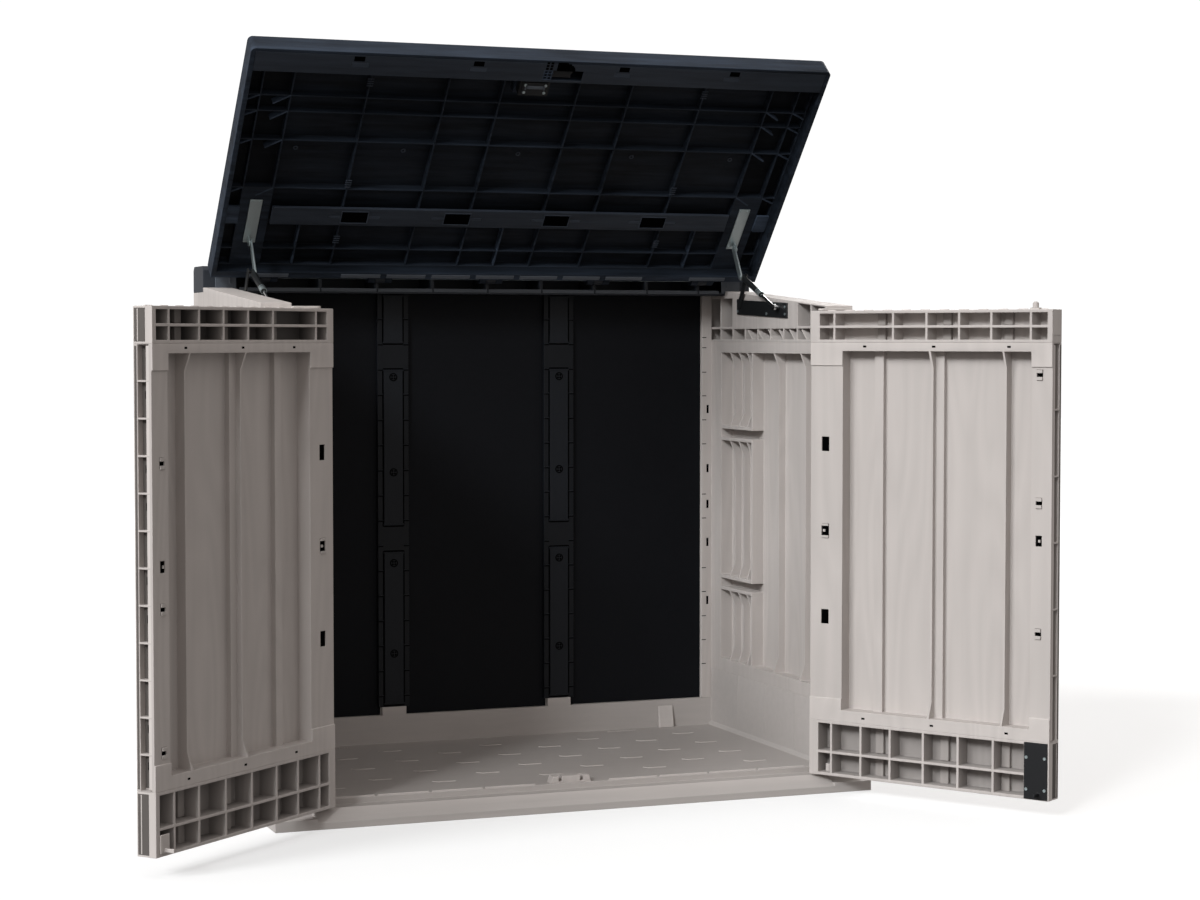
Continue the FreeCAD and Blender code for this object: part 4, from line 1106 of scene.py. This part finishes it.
@dataclass
class LidBeams(LidDetail):
    """Clip slots of the front strip, pockets of the cross beam and strips of the hinge beam, with painted
    shade in the slots and pockets.

    Attributes:
        clip_lines: Lines of the clip slots.
        clip_row: Place of the painted shade in the slots.
        clip_slot: Size of the painted shade in a slot.
        clip_spread: How much further apart the dark slots lie than their covers.
        cover_place: Place and height of the covers behind the dark slots.
        cover: Size of a cover.
        beam_foot: Underside of the cross beam.
        pocket_lines: Lines of the pockets.
        pocket: Size of the painted shade in a pocket's hollow.
        pocket_drop: Middle of the hollow under the beam's foot.
        bridge: Size of the bridges beside a pocket.
        bridge_place: Middle of a bridge from the middle of its pocket, and over the beam's foot.
        long_rim: Size of the rims along a pocket.
        long_rim_row: Middle of these rims from the middle of the pocket.
        end_rim: Size of the rims at its ends.
        end_rim_line: Middle of these rims from the middle of the pocket.
        rim_drop: Middle of all rims under the beam's foot.
        strips: Numbers of the hinge strips, counted from the middle, with two places left bare.
        strip_pitch: Distance between hinge strips.
        strip: Size of a hinge strip.
        strip_place: Place and height of the hinge strips.
    """

    clip_lines: tuple[float, ...] = (-462.2, -179.3, 179.3, 462.2)
    clip_row: float = -673.0
    clip_slot: Triple = (25.0, 13.0, 0.8)
    clip_spread: float = 1.01
    cover_place: Pair = (-656.4, -26.5)
    cover: Triple = (39.6, 11.6, 2.8)
    beam_foot: float = -6.0
    pocket_lines: tuple[float, ...] = (-389.0, -129.5, 129.5, 389.0)
    pocket: Triple = (66.0, 33.0, 0.8)
    pocket_drop: float = 0.1
    bridge: Triple = (29.0, 7.6, 6.0)
    bridge_place: Pair = (48.5, 2.6)
    long_rim: Triple = (69.0, 2.6, 1.8)
    long_rim_row: float = 17.4
    end_rim: Triple = (2.6, 37.0, 1.8)
    end_rim_line: float = 33.4
    rim_drop: float = 0.4
    strips: tuple[int, ...] = (-5, -3, -2, -1, 0, 1, 2, 3, 5)
    strip_pitch: float = 116.0
    strip: Triple = (100.0, 11.0, 1.6)
    strip_place: Pair = (-27.0, -28.2)

    def build(self) -> None:
        """Add the details of the three beams."""
        self.clip_slots()
        self.pockets()
        self.hinge_strips()

    def clip_slots(self) -> None:
        """Painted shade in the clip slots near the front edge of the front strip, and covers of the wide
        slots behind them.
        """
        dark, covers = bmesh.new(), bmesh.new()
        for x in self.clip_lines:
            centre = (x * self.clip_spread, self.clip_row, self.plate_height)
            self.bar(dark, centre, self.clip_slot, ease=0.2)
            self.bar(covers, (x, *self.cover_place), self.cover, ease=0.2)
        self.dress("lid_clip_slot_painted_shade", dark, SHADE_AND_JOINT_BLACK, "resin_black")
        self.dress("lid_clip_covers", covers, STRIP_GREY)

    def pockets(self) -> None:
        """Framed pockets in the cross beam, darkened with painted shade."""
        frames, hollows = bmesh.new(), bmesh.new()
        y, foot = self.beam_row, self.beam_foot
        rim = foot - self.rim_drop
        beside, up = self.bridge_place
        for x in self.pocket_lines:
            self.bar(hollows, (x, y, foot - self.pocket_drop), self.pocket)
            for edge in SIDES:
                self.bar(frames, (x + edge * beside, y, foot + up), self.bridge)
            for edge in SIDES:
                self.bar(frames, (x, y + edge * self.long_rim_row, rim), self.long_rim)
            for edge in SIDES:
                self.bar(frames, (x + edge * self.end_rim_line, y, rim), self.end_rim)
        self.dress("lid_beam_pocket_painted_shade", hollows, SHADE_AND_JOINT_BLACK, "resin_black")
        self.dress("lid_beam_frames", frames, STRIP_GREY)

    def hinge_strips(self) -> None:
        """Flat strips on the underside of the hinge beam, parted at the knuckles."""
        mesh = bmesh.new()
        for number in self.strips:
            self.bar(mesh, (number * self.strip_pitch, *self.strip_place), self.strip, ease=0.6)
        self.dress("lid_hinge_strips", mesh, RAIL_GREY)


@dataclass
class LidLatch(LidDetail):
    """Grille and recess beside the latch opening, with painted shade in the holes and the recess, and the
    bar on the lock plate.

    Attributes:
        grille: Middle of the grille from side to side, from front to back, and its height.
        cross_rows: Places of the bars across the grille.
        cross_bar: Size of a bar across.
        long_lines: Lines of the bars along the grille.
        long_bar: Size of a bar along.
        hole_lines: Lines of the dark holes in front of the grille.
        hole_rows: Places of the dark holes.
        hole: Size of the painted shade in a hole.
        recess: Line and place where the rounded recess starts.
        recess_reach: Its widest reach.
        recess_steps: Number of steps of its rounded end.
        recess_pitch: Distance between steps.
        recess_bar: Width and thickness of a step.
        lock_row: Place of the bar on the lock plate.
        lock_place: Line and height of that bar.
        lock_size: Size of that bar.
        stop_lines: Lines of the stops at its ends.
        stop_height: Middle height of a stop.
        stop: Size of a stop.
    """

    grille: Triple = (-7.0, -648.3, -26.5)
    cross_rows: tuple[float, ...] = (-661.0, -652.6, -644.2, -635.8)
    cross_bar: Triple = (22.4, 2.6, 2.8)
    long_lines: Triple = (-16.6, -7.0, 3.0)
    long_bar: Triple = (2.6, 28.2, 2.8)
    hole_lines: Pair = (-12.0, -2.0)
    hole_rows: Triple = (-683.0, -675.0, -667.0)
    hole: Triple = (6.4, 5.6, 0.8)
    recess: Pair = (12.0, -664.5)
    recess_reach: float = 46.0
    recess_steps: int = 6
    recess_pitch: float = 3.9
    recess_bar: Pair = (4.0, 0.8)
    lock_row: float = -607.5
    lock_place: Pair = (-27.0, -21.0)
    lock_size: Triple = (40.0, 9.0, 5.0)
    stop_lines: Pair = (-50.0, -4.0)
    stop_height: float = -20.6
    stop: Triple = (4.0, 16.0, 4.0)

    def build(self) -> None:
        """Add the grille with its recess, and the bar."""
        self.latch_grille()
        self.lock_bar()

    def latch_grille(self) -> None:
        """Slotted grille beside the latch opening of the front strip, and painted shade in the holes and
        the recess before it.
        """
        bars, dark = bmesh.new(), bmesh.new()
        middle, row, height = self.grille
        for y in self.cross_rows:
            self.bar(bars, (middle, y, height), self.cross_bar)
        for x in self.long_lines:
            self.bar(bars, (x, row, height), self.long_bar)
        for x in self.hole_lines:
            for y in self.hole_rows:
                self.bar(dark, (x, y, self.plate_height), self.hole, ease=0.2)
        start, front = self.recess
        for step in range(self.recess_steps):
            reach = self.recess_reach * math.sqrt(1.0 - (step / self.recess_steps) ** 2)
            centre = (start + reach / 2, front - step * self.recess_pitch, self.plate_height)
            self.bar(dark, centre, (reach, *self.recess_bar), ease=0.1)
        self.dress("lid_latch_grille", bars, ANTHRACITE)
        self.dress("lid_latch_recess_painted_shade", dark, SHADE_AND_JOINT_BLACK, "resin_black")

    def lock_bar(self) -> None:
        """Raised bar along the lock plate, with a stop at each end."""
        mesh = bmesh.new()
        x, z = self.lock_place
        self.bar(mesh, (x, self.lock_row, z), self.lock_size, ease=1.6)
        for x in self.stop_lines:
            self.bar(mesh, (x, self.lock_row, self.stop_height), self.stop, ease=1.0)
        self.dress("lid_lock_bar", mesh, RAIL_GREY, "resin_black")


@dataclass
class Door:
    """Clip windows, rail slots, cell bars and edge clips of one door, with painted shade in the windows,
    slots, band cells and edge channel, sizes in millimetres.

    Attributes:
        name: Side of the box.
        side: -1 for the left door, 1 for the right one.
        opening: Angle of the door at rest, in degrees.
        clips: Heights of the clip windows beside the free edge.
        notches: Heights of the dark notches in the edge channel.
        hollows: Lowest and highest points of the hollow ends of the bands, which take painted shade.
        hinge: Hinge line from the middle of the box, and its depth.
        width: Width of the door.
        inset: How far the hinge edge stands past the hinge line.
        face: Inner face of the frame.
        skin: Inner face of the outer skin.
        middle: Middle height of the door's windows.
        windows_up: Heights of the windows beside the hinge edge.
        window_line: Their place across the door, as a share.
        window: Size of the painted shade in a window's hollow.
        window_tongue: Size of the tongues that narrow the middle window, and how far from its middle.
        window_catch: Size of the catch in the middle window, and its place beside the window's middle.
        clip_line: Place of the clip windows across the door, as a share.
        clip: Size of the painted shade in a clip window's hollow.
        clip_tongue: As for the windows.
        clip_catch: As for the windows.
        catch_range: How far from the middle a clip window has a catch and no tongues.
        hollow_depth: Middle of the painted shade in the hollows behind the face.
        tongue_depth: Middle of the tongues behind the face.
        catch_depth: Middle of the catches behind the face.
        slot_shares: Places of the rail slots across the door.
        slots_up: Heights of the rail slots.
        slot: Size of the painted shade in a rail slot.
        slot_depth: Middle of a rail slot behind the face.
        cell_shares: Places of the cell bars across the door.
        cell_rows: Lowest and highest points of the cell bars.
        cell_bar: Width and thickness of a cell bar.
        cell_bar_proud: Middle of a cell bar in front of the skin.
        channel: Floor of the edge channel across the door, as a share.
        channel_middle: Middle height of the channel.
        channel_height: Height of the channel.
        lip: Depth and thickness of the inner lip.
        floor: Depth, thickness and width of the painted shade on the channel's floor.
        rim: Depth, thickness and width of the painted shade on the outer rim.
        end_hollow: Depth, thickness and width of the painted shade in a hollow band end.
        end_lip: Depth, thickness and width of the lip in it.
        notch: Depth, size and shift in height of the two parts of a notch's painted shade.
        notch_proud: Middle of a notch in front of the channel's floor line.
        seat: How far thin pieces sit off their line, so that they stand clear of the solid.
        play: What is taken off the lip's width, the floor's height and the height of a lip in a band end.
        tabs: Number of tabs along the top edge.
        tab_shares: Place of the first tab, and distance between tabs, as shares.
        tab_place: Depth and height of the tabs.
        tab: Size of a tab.
    """

    name: str
    side: int
    opening: float
    clips: tuple[float, ...]
    notches: tuple[float, ...]
    hollows: tuple[Pair, ...]
    hinge: Pair = (617.0, -364.0)
    width: float = 624.0
    inset: float = 8.5
    face: float = 39.5
    skin: float = -4.5
    middle: float = 626.1
    windows_up: Triple = (422.0, 626.1, 831.0)
    window_line: float = 0.064
    window: Triple = (19.8, 7.0, 33.8)
    window_tongue: tuple[Triple, float] = ((19.6, 3.0, 5.6), 14.0)
    window_catch: tuple[Triple, float] = ((6.0, 4.0, 6.0), 3.0)
    clip_line: float = 0.95
    clip: Triple = (14.8, 7.0, 23.8)
    clip_tongue: tuple[Triple, float] = ((14.6, 3.0, 7.6), 8.0)
    clip_catch: tuple[Triple, float] = ((5.0, 4.0, 6.0), -2.0)
    catch_range: float = 3.0
    hollow_depth: float = 8.6
    tongue_depth: float = 1.7
    catch_depth: float = 4.0
    slot_shares: Triple = (0.235, 0.525, 0.83)
    slots_up: Pair = (1061.0, 188.0)
    slot: Triple = (9.0, 0.8, 4.6)
    slot_depth: float = 0.1
    cell_shares: Triple = (0.275, 0.55, 0.8)
    cell_rows: tuple[Pair, ...] = ((1074.5, 1103.5), (1110.5, 1140.5), (48.5, 96.5), (103.5, 170.5))
    cell_bar: Pair = (21.0, 10.0)
    cell_bar_proud: float = 4.5
    channel: float = 0.974
    channel_middle: float = 622.5
    channel_height: float = 886.0
    lip: Pair = (27.0, 9.6)
    floor: Triple = (11.2, 1.6, 21.6)
    rim: Triple = (-3.0, 0.8, 5.4)
    end_hollow: Triple = (8.0, 0.8, 27.4)
    end_lip: Triple = (3.0, 1.2, 2.4)
    notch: tuple[tuple[float, Triple, float], ...] = (
        (12.0, (1.2, 7.0, 16.0), 0.0), (17.0, (1.2, 4.0, 7.0), -3.0))
    notch_proud: float = 0.9
    seat: float = 0.2
    play: Triple = (0.4, 2.0, 3.0)
    tabs: int = 12
    tab_shares: Pair = (0.05, 0.08)
    tab_place: Pair = (-5.5, 1145.6)
    tab: Triple = (24.0, 5.0, 3.2)

    @property
    def place(self) -> Matrix:
        """Where the open door rests."""
        hinge = Matrix.Translation(Vector((self.side * self.hinge[0], self.hinge[1], 0.0)) * MM)
        return hinge @ Matrix.Rotation(math.radians(self.side * self.opening), 4, "Z")

    @property
    def body(self) -> str:
        """Body that the door belongs to."""
        return f"door_{self.name}"

    def across(self, share: float) -> float:
        """Place across the door, from the hinge edge at 0 to the free edge at 1."""
        return self.side * (self.inset - self.width * share)

    def bar(self, mesh: bmesh.types.BMesh, centre: Triple, size: Triple, ease: float = BAR_EASE) -> None:
        """Add one bar in the frame of the door."""
        add_bar(mesh, centre, size, self.place, ease=ease)

    def dress(self, name: str, mesh: bmesh.types.BMesh, finish: Finish, slot: str) -> None:
        """Finish one piece of the door."""
        finish_piece(f"{self.body}_{name}", mesh, finish, self.body)

    def build(self) -> None:
        """Add every detail of the door."""
        self.windows()
        self.rail_slot_painted_shade()
        self.cell_bar_painted_shade()
        self.free_edge()
        self.top_tabs()

    def windows(self) -> None:
        """Painted shade: dark plates in the hollows behind the clip windows of both stiles, and the tongues
        that narrow some of them.
        """
        dark, tongues = bmesh.new(), bmesh.new()
        behind = self.face - self.hollow_depth
        x = self.across(self.window_line)
        # Painted shade: dark plates in the window hollows.
        for z in self.windows_up:
            self.bar(dark, (x, behind, z), self.window)
        self.tongues(tongues, x, self.middle, self.window_tongue)
        self.catch(tongues, x, self.middle, self.window_catch)
        x = self.across(self.clip_line)
        for z in self.clips:
            self.bar(dark, (x, behind, z), self.clip)
            if abs(z - self.middle) < self.catch_range:
                self.catch(tongues, x, z, self.clip_catch)
            else:
                self.tongues(tongues, x, z, self.clip_tongue)
        self.dress("window_painted_shade", dark, SHADE_AND_JOINT_BLACK, "resin_black")
        self.dress("window_tongues", tongues, CLIP_TAUPE, "resin_taupe")

    def tongues(self, mesh: bmesh.types.BMesh, x: float, z: float, tongue: tuple[Triple, float]) -> None:
        """Narrow a window from below and from above.

        Args:
            mesh: Geometry to add to.
            x: Middle of the window across the door.
            z: Middle height of the window.
            tongue: Size of a tongue, and its distance from the middle.
        """
        size, away = tongue
        for edge in SIDES:
            self.bar(mesh, (x, self.face - self.tongue_depth, z + edge * away), size)

    def catch(self, mesh: bmesh.types.BMesh, x: float, z: float, catch: tuple[Triple, float]) -> None:
        """Add the small catch in a window.

        Args:
            mesh: Geometry to add to.
            x: Middle of the window across the door.
            z: Middle height of the window.
            catch: Size of the catch, and its place beside the middle.
        """
        size, beside = catch
        self.bar(mesh, (x + beside, self.face - self.catch_depth, z), size)

    def rail_slot_painted_shade(self) -> None:
        """Painted shade: three small dark slots in the upper and the lower rail."""
        mesh = bmesh.new()
        for share in self.slot_shares:
            for z in self.slots_up:
                self.bar(mesh, (self.across(share), self.face - self.slot_depth, z), self.slot, ease=0.2)
        self.dress("rail_slot_painted_shade", mesh, SHADE_AND_JOINT_BLACK, "resin_black")

    def cell_bar_painted_shade(self) -> None:
        """Painted shade on the inner sides of the board lines, as low darker bars on the skin of the band
        cells.
        """
        mesh = bmesh.new()
        for share in self.cell_shares:
            for low, high in self.cell_rows:
                centre = (self.across(share), self.skin + self.cell_bar_proud, (low + high) / 2)
                self.bar(mesh, centre, (*self.cell_bar, high - low), ease=1.2)
        self.dress("cell_bar_painted_shade", mesh, BOARD_LINE_PAINTED_SHADE, "resin_taupe")

    def free_edge(self) -> None:
        """Thick inner lip of the free edge, with painted shade on the floor of its channel and in its
        notches.
        """
        lip, floor, dark = bmesh.new(), bmesh.new(), bmesh.new()
        inner, edge = self.across(self.channel), self.across(1.0)
        up, height = self.channel_middle, self.channel_height
        across, along, ends = self.play
        y, thickness = self.lip
        width = abs(inner - edge) - across
        self.bar(lip, ((inner + edge) / 2, y, up), (width, thickness, height), ease=1.2)
        # Painted shade: dark plates on the channel floor, along the outer rim and in the band ends.
        y, *section = self.floor
        self.bar(floor, (inner - self.side * self.seat, y, up), (*section, height - along))
        y, *section = self.rim
        self.bar(floor, (edge, y, up), (*section, height), ease=0.1)
        for low, high in self.hollows:
            z = (low + high) / 2
            y, *section = self.end_hollow
            self.bar(floor, (edge, y, z), (*section, high - low), ease=0.1)
            y, *section = self.end_lip
            self.bar(lip, (edge - self.side * self.seat, y, z), (*section, high - low - ends))
        # Painted shade in the notches.
        for z in self.notches:
            for y, size, shift in self.notch:
                self.bar(dark, (inner - self.side * self.notch_proud, y, z + shift), size)
        self.dress("edge_lip", lip, TAUPE, "resin_taupe")
        self.dress("edge_floor_painted_shade", floor, CHANNEL_PAINTED_SHADE, "resin_taupe")
        self.dress("edge_notch_painted_shade", dark, SHADE_AND_JOINT_BLACK, "resin_black")

    def top_tabs(self) -> None:
        """Low clip tabs along the outer top edge."""
        mesh = bmesh.new()
        first, pitch = self.tab_shares
        for step in range(self.tabs):
            self.bar(mesh, (self.across(first + step * pitch), *self.tab_place), self.tab, ease=1.0)
        self.dress("top_tabs", mesh, TAUPE, "resin_taupe")


@dataclass
class LidStay:
    """Bright collar and end ring of one gas spring, sizes in millimetres.

    Attributes:
        name: Side of the box.
        side: -1 on the left, 1 on the right.
        knee: Upper end of the spring, as y and z.
        foot: Lower end of the spring, as y and z.
        line: Distance of the spring from the middle of the box.
        collars: Start and end of each collar along the spring.
        bore: Inner radius of a collar.
        outside: Outer radius of a collar.
    """

    name: str
    side: int
    knee: Pair = (149.5, 1238.0)
    foot: Pair = (-44.5, 1158.0)
    line: float = 640.0
    collars: tuple[Pair, ...] = ((101.0, 106.0), (109.0, 124.2))
    bore: float = 6.5
    outside: float = 8.0

    def build(self) -> None:
        """Slip the collars over the lower end of the tube."""
        start = Vector((self.side * self.line, *self.knee))
        ahead = (Vector((self.side * self.line, *self.foot)) - start).normalized()
        place = Matrix.Translation(start * MM) @ ahead.to_track_quat("Z", "X").to_matrix().to_4x4()
        mesh = bmesh.new()
        for low, high in self.collars:
            add_ring(mesh, (0.0, 0.0, low), self.bore, self.outside, high - low, place, 28)
        finish_piece(f"stay_collar_{self.name}", mesh, ZINC, f"cylinder_{self.name}")


@dataclass(frozen=True)
class Lamp:
    """One broad far lamp.

    Attributes:
        name: Name of the lamp.
        towards: Direction from the box to the lamp.
        strength: Brightness.
        spread: Breadth seen from the box, in degrees.
        colour: Colour of the light.
        distance: How far off its object stands, in metres.
    """

    name: str
    towards: Triple
    strength: float
    spread: float
    colour: Triple
    distance: float = 6.0

    def build(self) -> None:
        """Hang the lamp and turn it to the box."""
        towards = Vector(self.towards).normalized()
        data = bpy.data.lights.new(self.name, "SUN")
        data.energy = self.strength
        data.angle = math.radians(self.spread)
        data.color = self.colour
        made = bpy.data.objects.new(self.name, data)
        made.location = towards * self.distance
        made.rotation_mode = "QUATERNION"
        made.rotation_quaternion = (-towards).to_track_quat("-Z", "Y")
        bpy.context.scene.collection.objects.link(made)


@dataclass
class Studio:
    """White sweep, soft light and the camera at the photograph's angle, in metres.

    Attributes:
        eye: Place of the camera.
        yaw: Turn of the view to the right of straight ahead, in degrees.
        pitch: Downward tilt, in degrees.
        lens: Focal length, in millimetres.
        sensor: Width of the sensor, in millimetres.
        sight: How far the camera sees.
        reach: Distance of the backdrop.
        drop: How far the floor lies below the box, so that the two faces don't meet.
        floor_colour: Colour of the floor where light falls on it.
        floor_glow: How bright the floor is by itself, as a lit table is.
        backdrop_glow: How bright the backdrop is.
        room_colour: Colour of the dim room.
        room: Brightness of the room from straight below and from straight above.
        lamps: Broad lamps from the left and the front left, and a softer one behind on the right.
    """

    eye: Triple = (-1.9931, -5.6947, 1.0808)
    yaw: float = 20.98
    pitch: float = 2.58
    lens: float = 74.55
    sensor: float = 36.0
    sight: float = 100.0
    reach: float = 28.0
    drop: float = 0.0005
    floor_colour: Triple = (0.5, 0.5, 0.5)
    floor_glow: float = 0.5
    backdrop_glow: float = 1.05
    room_colour: Triple = (1.0, 0.955, 0.925)
    room: Pair = (0.04, 0.74)
    lamps: tuple[Lamp, ...] = (
        Lamp("side lamp", (-0.80, -0.25, 0.54), 1.9, 20.0, (0.96, 0.985, 1.0)),
        Lamp("front lamp", (-0.737, -0.640, 0.50), 1.55, 12.0, (0.96, 0.985, 1.0)),
        Lamp("rear lamp", (0.62, 0.66, 0.42), 1.6, 30.0, (1.0, 0.99, 0.98)),
    )

    def build(self) -> None:
        """Set up floor, backdrop, light and camera."""
        floor = bmesh.new()
        bmesh.ops.create_circle(floor, cap_ends=True, segments=64, radius=self.reach)
        bmesh.ops.translate(floor, verts=floor.verts, vec=(0.0, 0.0, -self.drop))
        self.stand("studio_floor", floor, self.floor_colour, self.floor_glow)
        backdrop = bmesh.new()
        bmesh.ops.create_uvsphere(backdrop, u_segments=48, v_segments=24, radius=self.reach)
        self.stand("studio_backdrop", backdrop, (0.0, 0.0, 0.0), self.backdrop_glow)
        self.light()
        self.aim()

    def stand(self, name: str, mesh: bmesh.types.BMesh, colour: Triple, glow: float) -> None:
        """Add a white stage that shows no light of its own on the box.

        Args:
            name: Name of the stage.
            mesh: Its shape.
            colour: Colour that takes light and shadow.
            glow: Brightness of its own.
        """
        data = bpy.data.meshes.new(name)
        mesh.to_mesh(data)
        mesh.free()
        stage = bpy.data.objects.new(name, data)
        bpy.context.scene.collection.objects.link(stage)
        paint = bpy.data.materials.new(f"{name} white")
        paint.use_nodes = True
        shader = paint.node_tree.nodes["Principled BSDF"]
        shader.inputs["Base Color"].default_value = (*colour, 1.0)
        shader.inputs["Roughness"].default_value = 1.0
        shader.inputs["Specular IOR Level"].default_value = 0.0
        shader.inputs["Emission Color"].default_value = (1.0, 1.0, 1.0, 1.0)
        shader.inputs["Emission Strength"].default_value = glow
        data.materials.append(paint)
        stage.visible_diffuse = False
        stage.visible_glossy = False
        stage.visible_shadow = False

    def light(self) -> None:
        """Dim room that brightens upwards, and the lamps."""
        world = bpy.data.worlds.new("dim studio")
        world.use_nodes = True
        tree = world.node_tree
        shade = tree.nodes["Background"]
        shade.inputs["Color"].default_value = (*self.room_colour, 1.0)
        place = add_node(tree, "ShaderNodeTexCoord")
        axes = add_node(tree, "ShaderNodeSeparateXYZ")
        tree.links.new(place.outputs["Generated"], axes.inputs["Vector"])
        below, above = self.room
        height = add_node(tree, "ShaderNodeMapRange", {"From Min": -1.0, "To Min": below, "To Max": above})
        tree.links.new(axes.outputs["Z"], height.inputs["Value"])
        tree.links.new(height.outputs["Result"], shade.inputs["Strength"])
        bpy.context.scene.world = world
        bpy.context.scene.view_settings.view_transform = "Standard"
        for lamp in self.lamps:
            lamp.build()

    def aim(self) -> None:
        """Camera as it stood for the photograph."""
        data = bpy.data.cameras.new("photo camera")
        data.sensor_width = self.sensor
        data.lens = self.lens
        data.clip_end = self.sight
        camera = bpy.data.objects.new("photo camera", data)
        yaw, pitch = math.radians(self.yaw), math.radians(self.pitch)
        ahead = Vector((math.sin(yaw) * math.cos(pitch), math.cos(yaw) * math.cos(pitch), -math.sin(pitch)))
        camera.location = self.eye
        camera.rotation_mode = "QUATERNION"
        camera.rotation_quaternion = ahead.to_track_quat("-Z", "Y")
        bpy.context.scene.collection.objects.link(camera)
        bpy.context.scene.camera = camera


LEFT_DOOR = Door(
    "left", -1, 139.63,
    clips=(251.1, 539.3, 624.3, 831.0),
    notches=(225.0, 300.0, 520.0, 597.0, 745.0, 820.0, 968.0),
    hollows=((48.0, 171.0), (1074.0, 1141.0)))
RIGHT_DOOR = Door(
    "right", 1, 123.09,
    clips=(418.4, 627.0, 712.0, 998.4),
    notches=(250.0, 548.0, 700.0, 996.0),
    hollows=((48.0, 171.0),))


def main() -> None:
    """Build every sub-assembly in order."""
    logging.basicConfig(level=logging.INFO, format="%(name)s %(message)s")
    assemblies = (
        EasedMouldings(),
        BaseTray(),
        SideBand("left", -1),
        SideBand("right", 1),
        BackWall(),
        HingeRail(),
        LidRibs(),
        LidBeams(),
        LidLatch(),
        LEFT_DOOR,
        RIGHT_DOOR,
        LidStay("left", -1),
        LidStay("right", 1),
        Studio(),
    )
    for assembly in assemblies:
        assembly.build()
        log.info("built %s", type(assembly).__name__)


if __name__ == "__main__":
    main()
